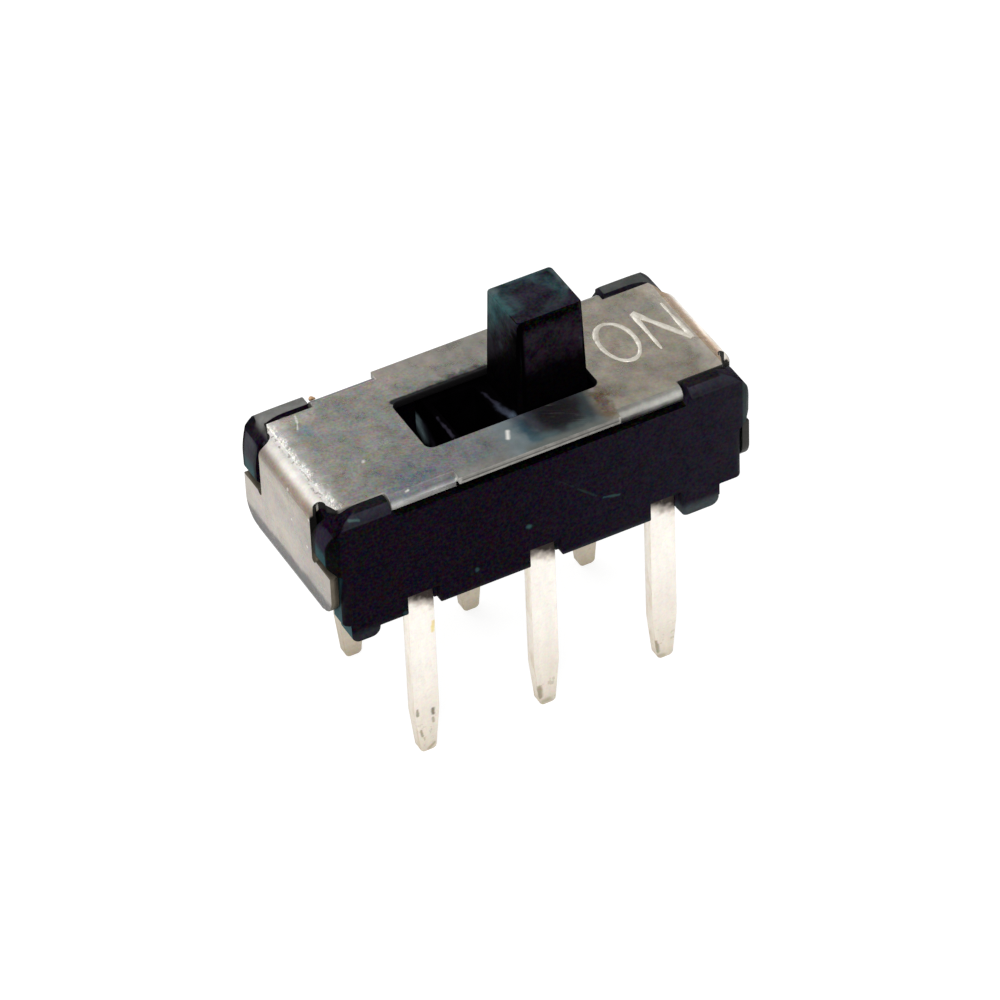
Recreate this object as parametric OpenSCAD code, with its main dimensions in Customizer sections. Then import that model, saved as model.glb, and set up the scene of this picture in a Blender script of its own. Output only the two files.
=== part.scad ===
// Sub-miniature slide switch, two poles and two throws, for a circuit board.
// Millimetres, +Z up. X runs along the knob's travel and Y across the two rows of terminals.
// The origin is the centre of the terminal pattern, on the board surface that the feet stand on.
// The knob is modelled at the +X end of its travel.

/* [Terminals] */
// Distance between neighbouring terminals in a row
pin_pitch = 2.5; // [2.1:0.1:3]
// Distance between the middles of the two rows
row_spacing = 3.0; // [2.5:0.05:3.2]
// Width of a terminal leg
pin_width = 0.53; // [0.4:0.01:0.7]
// Thickness of the terminal metal
pin_thickness = 0.25; // [0.15:0.01:0.3]
// Length of the legs below the board surface
pin_length = 3.45; // [2:0.05:5]
// Length of the taper at the end of a leg
tip_taper = 1.0; // [0.4:0.1:1.5]
// Width of the end of a leg
tip_width = 0.34; // [0.25:0.01:0.38]
// Radius of the corners at the end of a leg
tip_radius = 0.1; // [0.05:0.01:0.12]
// Width of the contact pad at the top of a terminal
pad_width = 1.1; // [0.9:0.05:1.5]
// How far a terminal steps inwards between its leg and its contact pad
pad_step = 0.2; // [0.1:0.01:0.3]
// Gap between the top of the contact pads and the sheet cover
pad_drop = 0.4; // [0.2:0.05:0.8]
// Depth below the cavity's floor at which a terminal starts to step inwards
step_depth = 0.35; // [0.25:0.01:0.4]
// Height over which it steps
step_height = 0.25; // [0.15:0.01:0.25]

/* [Housing] */
// Length of the moulded housing between its end faces
housing_length = 8.2; // [7.8:0.1:10]
// Width of the housing across its long walls
housing_width = 3.6; // [3.55:0.05:4.4]
// Height of the long walls above the board
wall_top = 2.6; // [2.3:0.05:3.2]
// Height of the housing's underside above the board
underside = 0.2; // [0.1:0.05:0.3]
// Thickness of the floor between the underside and the cavity
floor_thickness = 0.7; // [0.5:0.05:0.9]
// Radius of the housing's upright corners
corner_radius = 0.15; // [0.05:0.01:0.25]
// Extra height of the underside at the two ends, above the cover's lips
end_step_rise = 0.25; // [0.2:0.01:0.35]
// Length of the raised underside at each end
end_step_length = 0.48; // [0.4:0.02:0.8]
// Depth of the seats above it, which the cover's under lips are folded against
lip_seat_depth = 0.2; // [0.15:0.01:0.3]
// Length of each corner ear along the housing, inside the end face
ear_length = 1.05; // [0.8:0.05:1.2]
// Thickness of an ear across the housing
ear_thickness = 0.36; // [0.25:0.01:0.4]
// Height of the ears above the long walls
ear_rise = 0.32; // [0.28:0.01:0.5]
// How far the ears stand out past the end faces
ear_bulge = 0.22; // [0.1:0.01:0.24]
// Height of the undercut below an ear's outer end
ear_foot_height = 1.7; // [1.6:0.05:2]
// Radius of an ear's outer top corner
ear_radius = 0.75; // [0.4:0.05:0.8]
// Bevel along an ear's outer edges
ear_bevel = 0.15; // [0.05:0.01:0.16]
// Width of the notch in the wall's lower edge at each terminal
notch_width = 0.65; // [0.6:0.01:0.9]
// Height of that notch above the underside
notch_height = 0.4; // [0.2:0.05:0.5]
// Length of the feet at the left end, away from the knob
left_foot_length = 0.58; // [0.4:0.02:0.7]
// Distance from the left end face to the middles of those feet
left_foot_inset = 0.41; // [0.35:0.01:0.6]
// Length of the feet at the right end
right_foot_length = 0.82; // [0.4:0.02:0.9]
// Distance from the right end face to the middles of those feet
right_foot_inset = 0.91; // [0.5:0.01:1]
// Depth of a foot across the housing
foot_depth = 0.55; // [0.4:0.05:0.7]
// Radius of the rounded ends of the feet
foot_radius = 0.18; // [0.1:0.01:0.2]

/* [Cover] */
// Thickness of the cover's sheet metal
sheet = 0.15; // [0.1:0.01:0.2]
// Height of the gap between the long walls and the sheet above them
cover_gap = 0.11; // [0.05:0.01:0.15]
// Clearance between the housing's end faces and the cover's end walls
end_clearance = 0.05; // [0.03:0.01:0.1]
// Outer radius of the folds at the two ends
fold_radius = 0.35; // [0.28:0.01:0.4]
// Length of the window that the knob slides in
window_length = 3.5; // [3:0.1:4.2]
// Width of the window
window_width = 1.44; // [1.3:0.02:1.7]
// Radius of the window's corners
window_radius = 0.15; // [0.05:0.01:0.2]
// Length of the cover's widest part, between the side lips
middle_length = 3.3; // [2.8:0.1:3.8]
// Distance of the widest part's edges inside the housing's long faces
middle_inset = 0.08; // [0.04:0.01:0.1]
// Distance of the side lips inside the housing's long faces
lip_inset = 0.18; // [0.15:0.01:0.19]
// Clearance between the cover and the housing's ears and lip seats
ear_clearance = 0.06; // [0.03:0.01:0.1]
// Gap between the cover's end walls and the end plates of the ears
plate_gap = 0.12; // [0.08:0.01:0.15]
// Width of the end walls between the ears
end_width = 2.0; // [1.6:0.05:2.2]
// Radius of the round reliefs beside the folds
relief_radius = 0.15; // [0.1:0.01:0.16]
// Distance of each relief's middle beyond the start of the fold
relief_drop = 0.22; // [0.18:0.01:0.24]
// Distance of the end walls' edges inside the housing's long faces, below the ears
wing_inset = 0.09; // [0.04:0.01:0.15]
// Height at which the end walls' lower corners start to round
wing_bottom = 1.1; // [1:0.02:1.4]
// Radius of the end walls' lower corners
wing_radius = 0.45; // [0.3:0.05:0.6]
// Length of the lips that are bent under the housing
under_lip_length = 0.5; // [0.35:0.05:0.6]

/* [Slider] */
// Length of the knob along the travel, where it leaves the cover
knob_length = 1.45; // [1.2:0.05:1.6]
// Clearance between each side of the knob and the window
knob_side_clearance = 0.07; // [0.05:0.01:0.15]
// Gap left between the knob and each end of the window at the end of the travel
knob_end_gap = 0.16; // [0.05:0.01:0.2]
// Height of the knob above the cover
knob_height = 1.95; // [0.8:0.05:3]
// How much narrower each side of the knob is at its top
knob_draft = 0.06; // [0.02:0.01:0.1]
// Radius of the knob's upright corners
knob_radius = 0.08; // [0.04:0.01:0.15]
// Clearance between the base and the contact pads, floor and cover
base_clearance = 0.09; // [0.07:0.01:0.12]
// Gap left between the base and the end of the cavity at the end of the travel
stop_gap = 0.05; // [0.03:0.01:0.1]
// Length of the base's solid middle under the knob
collar_length = 1.9; // [1.7:0.05:2.2]
// Thickness of the ribs at the two ends of the base
rib_thickness = 0.15; // [0.1:0.01:0.2]
// Thickness of the ribs along the two sides of the base's pockets
side_rib = 0.15; // [0.12:0.01:0.18]
// Depth of the pockets in the top of the base
pocket_depth = 1.1; // [0.5:0.05:1.2]
// Depth of the pockets for the contact clips in the sides of the base
clip_pocket_depth = 0.25; // [0.22:0.01:0.3]
// Thickness of the flange above each contact clip
upper_flange = 0.35; // [0.25:0.05:0.45]
// Thickness of the flange below each contact clip
lower_flange = 0.2; // [0.15:0.05:0.3]

/* [Contact clips] */
// Thickness of the clip's spring strip
clip_thickness = 0.1; // [0.06:0.01:0.12]
// How much further apart a clip's two contact bends are than two neighbouring terminals
bend_offset = 0.1; // [0:0.05:0.2]
// Length of a clip beyond each of its bends
clip_tail = 0.4; // [0.3:0.05:0.5]
// Gap between each end of a clip and the end of its pocket
clip_end_gap = 0.125; // [0.05:0.005:0.2]
// Length of the clip's flat middle
clip_flat = 1.0; // [0.8:0.05:1.2]
// Clearance between a clip's bends and the contact pads
contact_gap = 0.02; // [0.01:0.005:0.04]
// Clearance above and below a clip between the flanges
clip_clearance = 0.02; // [0.01:0.005:0.04]

/* [Hidden] */
$fn = 48;
// Extra length that takes a cut clear through a face
over = 0.5;
// Smallest radius that is drawn as a round
smallest_radius = 0.03;

// Housing
half_length = housing_length / 2;
half_width = housing_width / 2;
floor_top = underside + floor_thickness;
end_underside = underside + end_step_rise;
lip_seat = end_underside + lip_seat_depth;
ear_start = half_length - ear_length;
ear_inner = half_width - ear_thickness;
ear_end = half_length + ear_bulge;
ear_top = wall_top + ear_rise;
// The feet, left and right: the middle along X and the length
feet = [
    [left_foot_inset - half_length, left_foot_length],
    [half_length - right_foot_inset, right_foot_length]
];

// Terminals: faces of the leg and of the contact pad, measured from the middle plane
leg_outer = row_spacing / 2 + pin_thickness / 2;
leg_inner = leg_outer - pin_thickness;
pad_outer = leg_outer - pad_step;
pad_inner = pad_outer - pin_thickness;
step_low = floor_top - step_depth;
step_high = step_low + step_height;

// Cover
sheet_underside = wall_top + cover_gap;
cover_top = sheet_underside + sheet;
cover_end = half_length + end_clearance + sheet;
fold_height = cover_top - fold_radius;
fold_start = cover_end - fold_radius;
inner_fold_radius = fold_radius - sheet;
block_radius = max(inner_fold_radius - end_clearance, smallest_radius);
wide_half_length = ear_start - ear_clearance;
middle_half_width = half_width - middle_inset;
lip_outer = half_width - lip_inset;
lip_inner = lip_outer - sheet;
strip_half_width = ear_inner - ear_clearance;
end_half_width = end_width / 2;
ear_plate_inner = end_half_width + plate_gap;
wing_half_width = half_width - wing_inset;
wing_top = ear_foot_height - ear_clearance;
under_radius = end_clearance + sheet;
under_bottom = lip_seat - sheet;
under_half_width = wing_half_width - wing_radius;

// Lengths of the clips and of the slider's base, which holds them
bend_spacing = pin_pitch + bend_offset;
clip_length = bend_spacing + 2 * clip_tail;
clip_pocket_length = clip_length + 2 * clip_end_gap;
base_length = clip_pocket_length + 2 * rib_thickness;

// Slider
knob_width = window_width - 2 * knob_side_clearance;
travel = window_length - knob_length - 2 * knob_end_gap;
rest_x = travel / 2;
base_bottom = floor_top + base_clearance;
base_top = sheet_underside - base_clearance;
base_half_width = pad_inner - base_clearance;
cavity_half_length = base_length / 2 + travel / 2 + stop_gap;
knob_top = cover_top + knob_height;

// Contact clips
clip_bottom = base_bottom + lower_flange + clip_clearance;
clip_top = base_top - upper_flange - clip_clearance;
bend_face = pad_inner - contact_gap;
core_half_width = base_half_width - clip_pocket_depth;
bend_rise = bend_face - core_half_width - clip_thickness;
clip_step = 0.05;

// How far the strip stands out from its flat middle, at a distance x along it
function bow(x) =
    let (
        d = abs(x),
        flat = clip_flat / 2,
        bend = bend_spacing / 2,
        rising = min(max(d - flat, 0) / (bend - flat), 1),
        falling = max(d - bend, 0) / (bend - flat)
    )
    bend_rise * ((1 - cos(180 * rising)) / 2 - (1 - cos(180 * falling)) / 2);

// A plate with round corners, centred on the origin
module round_plate(length, width, radius) {
    square([length - 2 * radius, width], center = true);
    square([length, width - 2 * radius], center = true);
    for (x = [-1, 1], y = [-1, 1])
        translate([x * (length / 2 - radius), y * (width / 2 - radius)])
            circle(radius);
}

// A rectangle from x0 to x1 and z0 to z1
module rectangle(x0, x1, z0, z1) {
    translate([x0, z0])
        square([x1 - x0, z1 - z0]);
}

// An outline in X and Z, symmetrical in X, with its own radius at the top and at the bottom
module end_to_end(half, z0, z1, top_radius, bottom_radius) {
    rectangle(-half, half, z0 + bottom_radius, z1 - top_radius);
    rectangle(top_radius - half, half - top_radius, z1 - top_radius, z1);
    rectangle(bottom_radius - half, half - bottom_radius, z0, z0 + bottom_radius);
    for (x = [-1, 1]) {
        translate([x * (half - top_radius), z1 - top_radius])
            circle(top_radius);
        translate([x * (half - bottom_radius), z0 + bottom_radius])
            circle(bottom_radius);
    }
}

// Extrudes an outline drawn in X and Z from y0 to y1
module along_y(y0, y1) {
    translate([0, y1, 0])
        rotate([90, 0, 0])
            linear_extrude(y1 - y0)
                children();
}

// Extrudes an outline drawn in Y and Z from x0 to x1
module along_x(x0, x1) {
    translate([x0, 0, 0])
        rotate([90, 0, 90])
            linear_extrude(x1 - x0)
                children();
}

// Repeats its children in all four corners
module four_corners() {
    for (x = [0, 1], y = [0, 1])
        mirror([x, 0, 0])
            mirror([0, y, 0])
                children();
}

// ---- Terminals ----

// The strip's run up from the leg, with its step inwards, in Y and Z
module terminal_side() {
    pad_top = sheet_underside - pad_drop;
    polygon([
        [leg_outer, -pin_length],
        [leg_outer, step_low],
        [pad_outer, step_high],
        [pad_outer, pad_top],
        [pad_inner, pad_top],
        [pad_inner, step_high],
        [leg_inner, step_low],
        [leg_inner, -pin_length]
    ]);
}

// The terminal seen from its broad face, in X and Z
module terminal_front() {
    tip_half = tip_width / 2;
    leg_half = pin_width / 2;
    pad_half = pad_width / 2;
    right_side = [
        [tip_half - tip_radius, -pin_length],
        [tip_half, tip_radius - pin_length],
        [leg_half, tip_taper - pin_length],
        [leg_half, step_high],
        [pad_half, step_high],
        [pad_half, sheet_underside]
    ];
    left_side = [for (i = [len(right_side) - 1:-1:0]) [-right_side[i][0], right_side[i][1]]];
    polygon(concat(right_side, left_side));
    for (x = [-1, 1])
        translate([x * (tip_half - tip_radius), tip_radius - pin_length])
            circle(tip_radius);
}

// A terminal, at its column (-1, 0 or 1) and its row (-1 in front, 1 behind)
module terminal_at(column, row) {
    translate([column * pin_pitch, 0, 0])
        mirror([0, row < 0 ? 1 : 0, 0])
            intersection() {
                along_x(-pad_width, pad_width)
                    terminal_side();
                along_y(0, half_width)
                    terminal_front();
            }
}

module terminal(column, row) {
    color("#e6dfce")
        terminal_at(column, row);
}

// ---- Housing ----

// One ear's outline in X and Z
module ear_outline() {
    undercut = ear_bulge * 0.65;
    polygon([
        [ear_start, wall_top - over],
        [half_length - over, ear_foot_height],
        [ear_end - undercut, ear_foot_height],
        [ear_end, ear_foot_height + undercut],
        [ear_end, ear_top - ear_radius],
        [ear_end - ear_radius, ear_top - ear_radius],
        [ear_end - ear_radius, ear_top],
        [ear_start, ear_top]
    ]);
    translate([ear_end - ear_radius, ear_top - ear_radius])
        circle(ear_radius);
}

// The ear's end plate seen from the end, in Y and Z, with its inner top corner rounded away
module ear_plate() {
    plate_radius = half_width - ear_plate_inner;
    rectangle(ear_plate_inner, half_width, ear_foot_height, ear_top - plate_radius);
    intersection() {
        translate([half_width, ear_top - plate_radius])
            circle(plate_radius);
        rectangle(ear_plate_inner, half_width, ear_foot_height, ear_top);
    }
}

// A square corner with a bevel, whose two faces lie at a and b
module bevelled_corner(a, b) {
    polygon([[0, 0], [a, 0], [a, b - ear_bevel], [a - ear_bevel, b], [0, b]]);
}

module ear() {
    intersection() {
        union() {
            along_y(ear_inner, half_width)
                ear_outline();
            intersection() {
                along_y(ear_plate_inner, half_width)
                    ear_outline();
                along_x(half_length - corner_radius, ear_end)
                    ear_plate();
            }
        }
        along_x(0, ear_end)
            bevelled_corner(half_width, ear_top);
        linear_extrude(ear_top)
            bevelled_corner(ear_end, half_width);
    }
}

// The raised blocks between the ears, which the cover's end strips lie on
module end_blocks() {
    intersection() {
        along_y(-ear_inner, ear_inner)
            end_to_end(half_length, floor_top, sheet_underside, block_radius, block_radius);
        four_corners()
            translate([cavity_half_length, 0, floor_top])
                cube([half_length, half_width, sheet_underside]);
    }
}

// The four feet, flush with the long faces
module feet() {
    for (foot = feet, y = [0, 1])
        mirror([0, y, 0])
            along_y(half_width - foot_depth, half_width)
                translate([foot[0], 0]) {
                    rectangle(-foot[1] / 2, foot[1] / 2, foot_radius, end_underside);
                    rectangle(foot_radius - foot[1] / 2, foot[1] / 2 - foot_radius, 0, foot_radius);
                    for (x = [-1, 1])
                        translate([x * (foot[1] / 2 - foot_radius), foot_radius])
                            circle(foot_radius);
                }
}

// The seats in the raised underside that the cover's under lips lie in
module lip_seats() {
    seat_half_width = under_half_width + ear_clearance;
    for (x = [0, 1])
        mirror([x, 0, 0])
            translate([half_length - end_step_length, -seat_half_width, 0])
                cube([housing_length, 2 * seat_half_width, lip_seat]);
}

// The notches in the walls' lower edges, one outside each leg
module leg_notches() {
    for (column = [-1:1], y = [0, 1])
        mirror([0, y, 0])
            translate([column * pin_pitch - notch_width / 2, leg_outer, -over])
                cube([notch_width, half_width, over + underside + notch_height]);
}

module housing() {
    color("#211d25")
        difference() {
            union() {
                difference() {
                    translate([0, 0, underside])
                        linear_extrude(wall_top - underside)
                            round_plate(housing_length, housing_width, corner_radius);
                    for (x = [0, 1])
                        mirror([x, 0, 0])
                            translate([half_length - end_step_length, -housing_width, 0])
                                cube([housing_length, 2 * housing_width, end_underside]);
                }
                end_blocks();
                four_corners()
                    ear();
                feet();
            }
            translate([-cavity_half_length, -pad_outer, floor_top])
                cube([2 * cavity_half_length, 2 * pad_outer, cover_top]);
            leg_notches();
            lip_seats();
            for (column = [-1:1], row = [-1, 1])
                terminal_at(column, row);
        }
}

// ---- Cover ----

// The folded sheet seen from the side, in X and Z: top, folds, end walls and under lips
module folded_sheet() {
    difference() {
        end_to_end(cover_end, under_bottom, cover_top, fold_radius, under_radius);
        end_to_end(
            cover_end - sheet, lip_seat, sheet_underside,
            inner_fold_radius, under_radius - sheet
        );
        rectangle(under_lip_length - cover_end, cover_end - under_lip_length, 0, wall_top / 2);
    }
}

// The strip's corner, which runs a little way down the fold beside the relief
module slanted_corner() {
    slant = relief_drop / 2;
    polygon([
        [0, 0],
        [fold_start, strip_half_width],
        [fold_start + slant, end_half_width + relief_radius * 2 / 3],
        [fold_start + slant, 0]
    ]);
}

// The sheet seen from above: its top and folds
module cover_plan() {
    difference() {
        union() {
            square([middle_length, 2 * middle_half_width], center = true);
            square([2 * wide_half_length, 2 * lip_inner], center = true);
            square([2 * fold_start, 2 * strip_half_width], center = true);
            square([2 * cover_end + over, end_width], center = true);
            four_corners()
                slanted_corner();
        }
        four_corners()
            translate([fold_start + relief_drop, end_half_width + relief_radius * 2 / 3])
                circle(relief_radius);
    }
}

// The end walls seen from the end, in Y and Z, below the folds
module cover_end_view() {
    relief = 0.07;
    corner_height = wing_bottom;
    difference() {
        union() {
            rectangle(-end_half_width, end_half_width, wing_top - relief, fold_height);
            rectangle(-wing_half_width, wing_half_width, corner_height, wing_top);
            rectangle(-under_half_width, under_half_width, under_bottom, corner_height);
            for (y = [-1, 1])
                translate([y * under_half_width, corner_height])
                    circle(wing_radius);
        }
        for (y = [-1, 1])
            translate([y * (end_half_width + relief), wing_top])
                circle(relief);
    }
}

// A down-turned lip on the cover's long edge
module side_lip() {
    along_x(middle_length / 2, wide_half_length) {
        rectangle(lip_inner, lip_outer, wall_top, sheet_underside);
        intersection() {
            translate([lip_inner, sheet_underside])
                circle(sheet);
            rectangle(lip_inner, lip_outer, sheet_underside, cover_top);
        }
    }
}

module cover() {
    color("#98938a")
        difference() {
            union() {
                intersection() {
                    along_y(-half_width, half_width)
                        folded_sheet();
                    translate([0, 0, fold_height])
                        linear_extrude(fold_radius + over)
                            cover_plan();
                }
                intersection() {
                    along_y(-half_width, half_width)
                        folded_sheet();
                    along_x(-housing_length, housing_length)
                        cover_end_view();
                }
                four_corners()
                    side_lip();
            }
            linear_extrude(cover_top + over)
                round_plate(window_length, window_width, window_radius);
        }
}

// ---- Slider and its contact clips ----

// The knob, with draft and round upright corners
module knob() {
    thin = 0.01;
    hull() {
        translate([0, 0, base_top])
            linear_extrude(thin, $fn = 32)
                round_plate(knob_length, knob_width, knob_radius);
        translate([0, 0, knob_top - thin])
            linear_extrude(thin, $fn = 32)
                round_plate(knob_length - 2 * knob_draft, knob_width - 2 * knob_draft, knob_radius);
    }
}

module slider_base() {
    pocket_length = (base_length - collar_length) / 2 - rib_thickness;
    pocket_half_width = core_half_width - side_rib;
    clip_depth = base_half_width - core_half_width;
    difference() {
        translate([-base_length / 2, -base_half_width, base_bottom])
            cube([base_length, 2 * base_half_width, base_top - base_bottom]);
        for (x = [0, 1])
            mirror([x, 0, 0])
                translate([collar_length / 2, -pocket_half_width, base_top - pocket_depth])
                    cube([pocket_length, 2 * pocket_half_width, pocket_depth + over]);
        for (y = [0, 1])
            mirror([0, y, 0])
                translate([-clip_pocket_length / 2, core_half_width, base_bottom + lower_flange])
                    cube([
                        clip_pocket_length,
                        clip_depth + over,
                        base_top - upper_flange - base_bottom - lower_flange
                    ]);
    }
}

module slider() {
    color("#17161b")
        translate([rest_x, 0, 0]) {
            slider_base();
            knob();
        }
}

// A bowed spring strip that bridges two neighbouring contact pads, on its side of the slider
module contact_clip(row) {
    half = clip_length / 2;
    outline = concat(
        [for (x = [-half:clip_step:half]) [x, core_half_width + bow(x)]],
        [for (x = [half:-clip_step:-half]) [x, core_half_width + clip_thickness + bow(x)]]
    );
    color("#c9b27a")
        translate([rest_x, 0, clip_bottom])
            mirror([0, row < 0 ? 1 : 0, 0])
                linear_extrude(clip_top - clip_bottom)
                    polygon(outline);
}

cover();
housing();
slider();
contact_clip(-1);  // contact_clip_front
contact_clip(1);  // contact_clip_rear
terminal(-1, -1);  // terminal_front_left
terminal(0, -1);  // terminal_front_middle
terminal(1, -1);  // terminal_front_right
terminal(-1, 1);  // terminal_rear_left
terminal(0, 1);  // terminal_rear_middle
terminal(1, 1);  // terminal_rear_right
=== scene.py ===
import math
import random
from itertools import combinations

import bmesh
import bpy
from mathutils import Matrix, Vector
from mathutils.bvhtree import BVHTree


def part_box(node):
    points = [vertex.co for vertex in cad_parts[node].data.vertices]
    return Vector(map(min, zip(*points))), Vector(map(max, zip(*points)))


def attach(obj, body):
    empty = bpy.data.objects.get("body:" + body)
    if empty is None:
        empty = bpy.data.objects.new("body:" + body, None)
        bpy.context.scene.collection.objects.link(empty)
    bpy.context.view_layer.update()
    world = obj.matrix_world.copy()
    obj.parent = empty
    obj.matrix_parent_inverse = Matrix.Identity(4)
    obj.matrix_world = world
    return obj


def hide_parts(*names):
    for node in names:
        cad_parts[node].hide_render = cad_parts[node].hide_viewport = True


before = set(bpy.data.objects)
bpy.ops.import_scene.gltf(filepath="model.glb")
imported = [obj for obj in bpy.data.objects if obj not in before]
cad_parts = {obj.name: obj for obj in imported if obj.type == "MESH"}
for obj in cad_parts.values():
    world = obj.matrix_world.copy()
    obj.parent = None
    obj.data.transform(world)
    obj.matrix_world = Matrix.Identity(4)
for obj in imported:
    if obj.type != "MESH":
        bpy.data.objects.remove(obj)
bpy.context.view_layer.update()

bl_info = {
    "name": "Slide switch finish",
    "version": (1, 0, 0),
    "blender": (4, 5, 0),
    "location": "3D View > Sidebar > Slide switch",
    "description": "Rounds, finishes and lights a small two-position slide switch",
    "category": "Object",
}

# The frame is in metres. The sizes below are written in millimetres times MM, and the marks of the
# finishes, whose tables would be longer for it, in plain millimetres.
MM = 0.001
BODY = "switch_body"
CONTACT = "sliding_contact"
TERMINALS = [
    "terminal_front_left",
    "terminal_front_middle",
    "terminal_front_right",
    "terminal_rear_left",
    "terminal_rear_middle",
    "terminal_rear_right",
]
CLIPS = ["contact_clip_front", "contact_clip_rear"]

# Vertices closer than WELD are one corner; faces that differ by less than FLAT are one face.
WELD = 0.0001 * MM
FLAT = math.radians(1.0)
# Edges that turn more than this are real corners of the piece, and get a rounding. It takes the full
# radius where the surface beside it goes on for ROOM_NEEDED radii. PROBES points on the way out from
# each of the SPOTS along the edge test that: the surface has ended where it is more than STRAYED of
# the way out from the point, or where the cosine between its normal and the face's is under SAME_WAY.
CORNER = math.radians(20.0)
ROOM_NEEDED = 2.3
PROBES = 8
SPOTS = (0.12, 0.31, 0.5, 0.69, 0.88)
STRAYED = 0.1
SAME_WAY = 0.9
# Corners in line to within this cosine are one run, and have one radius.
RUNS_ON = 0.77
# A face of the cover is a cut edge where the metal behind it is thicker than this many sheets.
CUT_DEPTH = 1.4

# Faces that carry marks, in plain millimetres: the height of the plate, and the y of the housing's
# front and of the front of the terminals.
PLATE_LEVEL = 2.86
HOUSING_FRONT = -1.8
TERMINAL_FRONT = -1.625

# Other places and sizes that the finishes need, in the shared frame.
SHEET = 0.15 * MM
COVER_TOP = PLATE_LEVEL * MM
BEND_START = 3.95 * MM
BEND_LOW = 2.51 * MM
TERMINAL_PITCH = 2.5 * MM


# ---------------------------------------------------------------- settings


# What all the colours have in common, and what all the small lengths do.
COLOUR = {"subtype": "COLOR", "size": 3, "min": 0.0, "max": 1.0}
SMALL = {"unit": "LENGTH", "precision": 6}


class CoverSettings(bpy.types.PropertyGroup):
    """Finish of the folded sheet-metal cover."""

    metal: bpy.props.FloatVectorProperty(
        name="Metal",
        description="Colour of the plated sheet",
        default=(0.385, 0.372, 0.338),
        **COLOUR,
    )
    sheared: bpy.props.FloatVectorProperty(
        name="Sheared edge",
        description="Colour of the bare metal along the cut edges",
        default=(0.21, 0.205, 0.19),
        **COLOUR,
    )
    rounding: bpy.props.FloatProperty(
        name="Edge rounding",
        description="Radius that tumbling leaves on the cut edges",
        min=0.0,
        max=0.06 * MM,
        default=0.018 * MM,
        **SMALL,
    )
    stroke: bpy.props.FloatProperty(
        name="Stamp stroke",
        description="Half the width of the strokes of the stamped word",
        min=0.01 * MM,
        max=0.1 * MM,
        default=0.055 * MM,
        **SMALL,
    )


class HousingSettings(bpy.types.PropertyGroup):
    """Finish of the moulded housing."""

    plastic: bpy.props.FloatVectorProperty(
        name="Plastic",
        description="Colour of the moulding",
        default=(0.0080, 0.0042, 0.0106),
        **COLOUR,
    )
    rounding: bpy.props.FloatProperty(
        name="Edge rounding",
        description="Radius on the moulded corners",
        min=0.0,
        max=0.06 * MM,
        default=0.03 * MM,
        **SMALL,
    )


class SliderSettings(bpy.types.PropertyGroup):
    """Finish of the knob and the slider under it."""

    plastic: bpy.props.FloatVectorProperty(
        name="Plastic",
        description="Colour of the moulding",
        default=(0.0010, 0.0007, 0.0011),
        **COLOUR,
    )
    rounding: bpy.props.FloatProperty(
        name="Edge rounding",
        description="Radius on the moulded corners",
        min=0.0,
        max=0.07 * MM,
        default=0.045 * MM,
        **SMALL,
    )


class MetalSettings(bpy.types.PropertyGroup):
    """Finish of the terminals and of the contact clips."""

    plating: bpy.props.FloatVectorProperty(
        name="Terminal plating",
        description="Colour of the tin on the terminals",
        default=(0.83, 0.79, 0.73),
        **COLOUR,
    )
    clip: bpy.props.FloatVectorProperty(
        name="Clip metal",
        description="Colour of the silvered contact clips",
        default=(0.72, 0.68, 0.60),
        **COLOUR,
    )
    rounding: bpy.props.FloatProperty(
        name="Edge rounding",
        description="Radius on the stamped edges",
        min=0.0,
        max=0.05 * MM,
        default=0.022 * MM,
        **SMALL,
    )


class StageSettings(bpy.types.PropertyGroup):
    """Floor, lamps and camera."""

    azimuth: bpy.props.FloatProperty(
        name="Camera azimuth",
        description="Turn of the camera round the switch, 0 looking along +Y",
        subtype="ANGLE",
        default=math.radians(-26.783),
    )
    elevation: bpy.props.FloatProperty(
        name="Camera elevation",
        description="Height of the camera above the horizon",
        subtype="ANGLE",
        default=math.radians(41.072),
    )
    roll: bpy.props.FloatProperty(
        name="Camera roll",
        description="Lean of the picture",
        subtype="ANGLE",
        default=math.radians(-2.527),
    )
    distance: bpy.props.FloatProperty(
        name="Camera distance",
        description="Distance from the switch to the lens",
        unit="LENGTH",
        precision=4,
        min=0.02,
        max=1.0,
        default=111.81 * MM,
    )
    lens: bpy.props.FloatProperty(
        name="Lens",
        description="Focal length of the lens",
        unit="CAMERA",
        min=20.0,
        max=400.0,
        default=219.98,
    )
    window: bpy.props.FloatProperty(
        name="Window brightness",
        description="Radiance of the tall soft light at the back left, where 1 is white",
        min=0.0,
        max=5.0,
        default=1.7,
    )
    key: bpy.props.FloatProperty(
        name="Key brightness",
        description="Light that the soft lamp over the front gives, where 1 is a full plain level",
        min=0.0,
        max=2.0,
        default=0.45,
    )


class SwitchSettings(bpy.types.PropertyGroup):
    """All that a user may change about the finish."""

    cover: bpy.props.PointerProperty(type=CoverSettings)
    housing: bpy.props.PointerProperty(type=HousingSettings)
    slider: bpy.props.PointerProperty(type=SliderSettings)
    metal: bpy.props.PointerProperty(type=MetalSettings)
    stage: bpy.props.PointerProperty(type=StageSettings)


# ---------------------------------------------------------------- node trees


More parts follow.
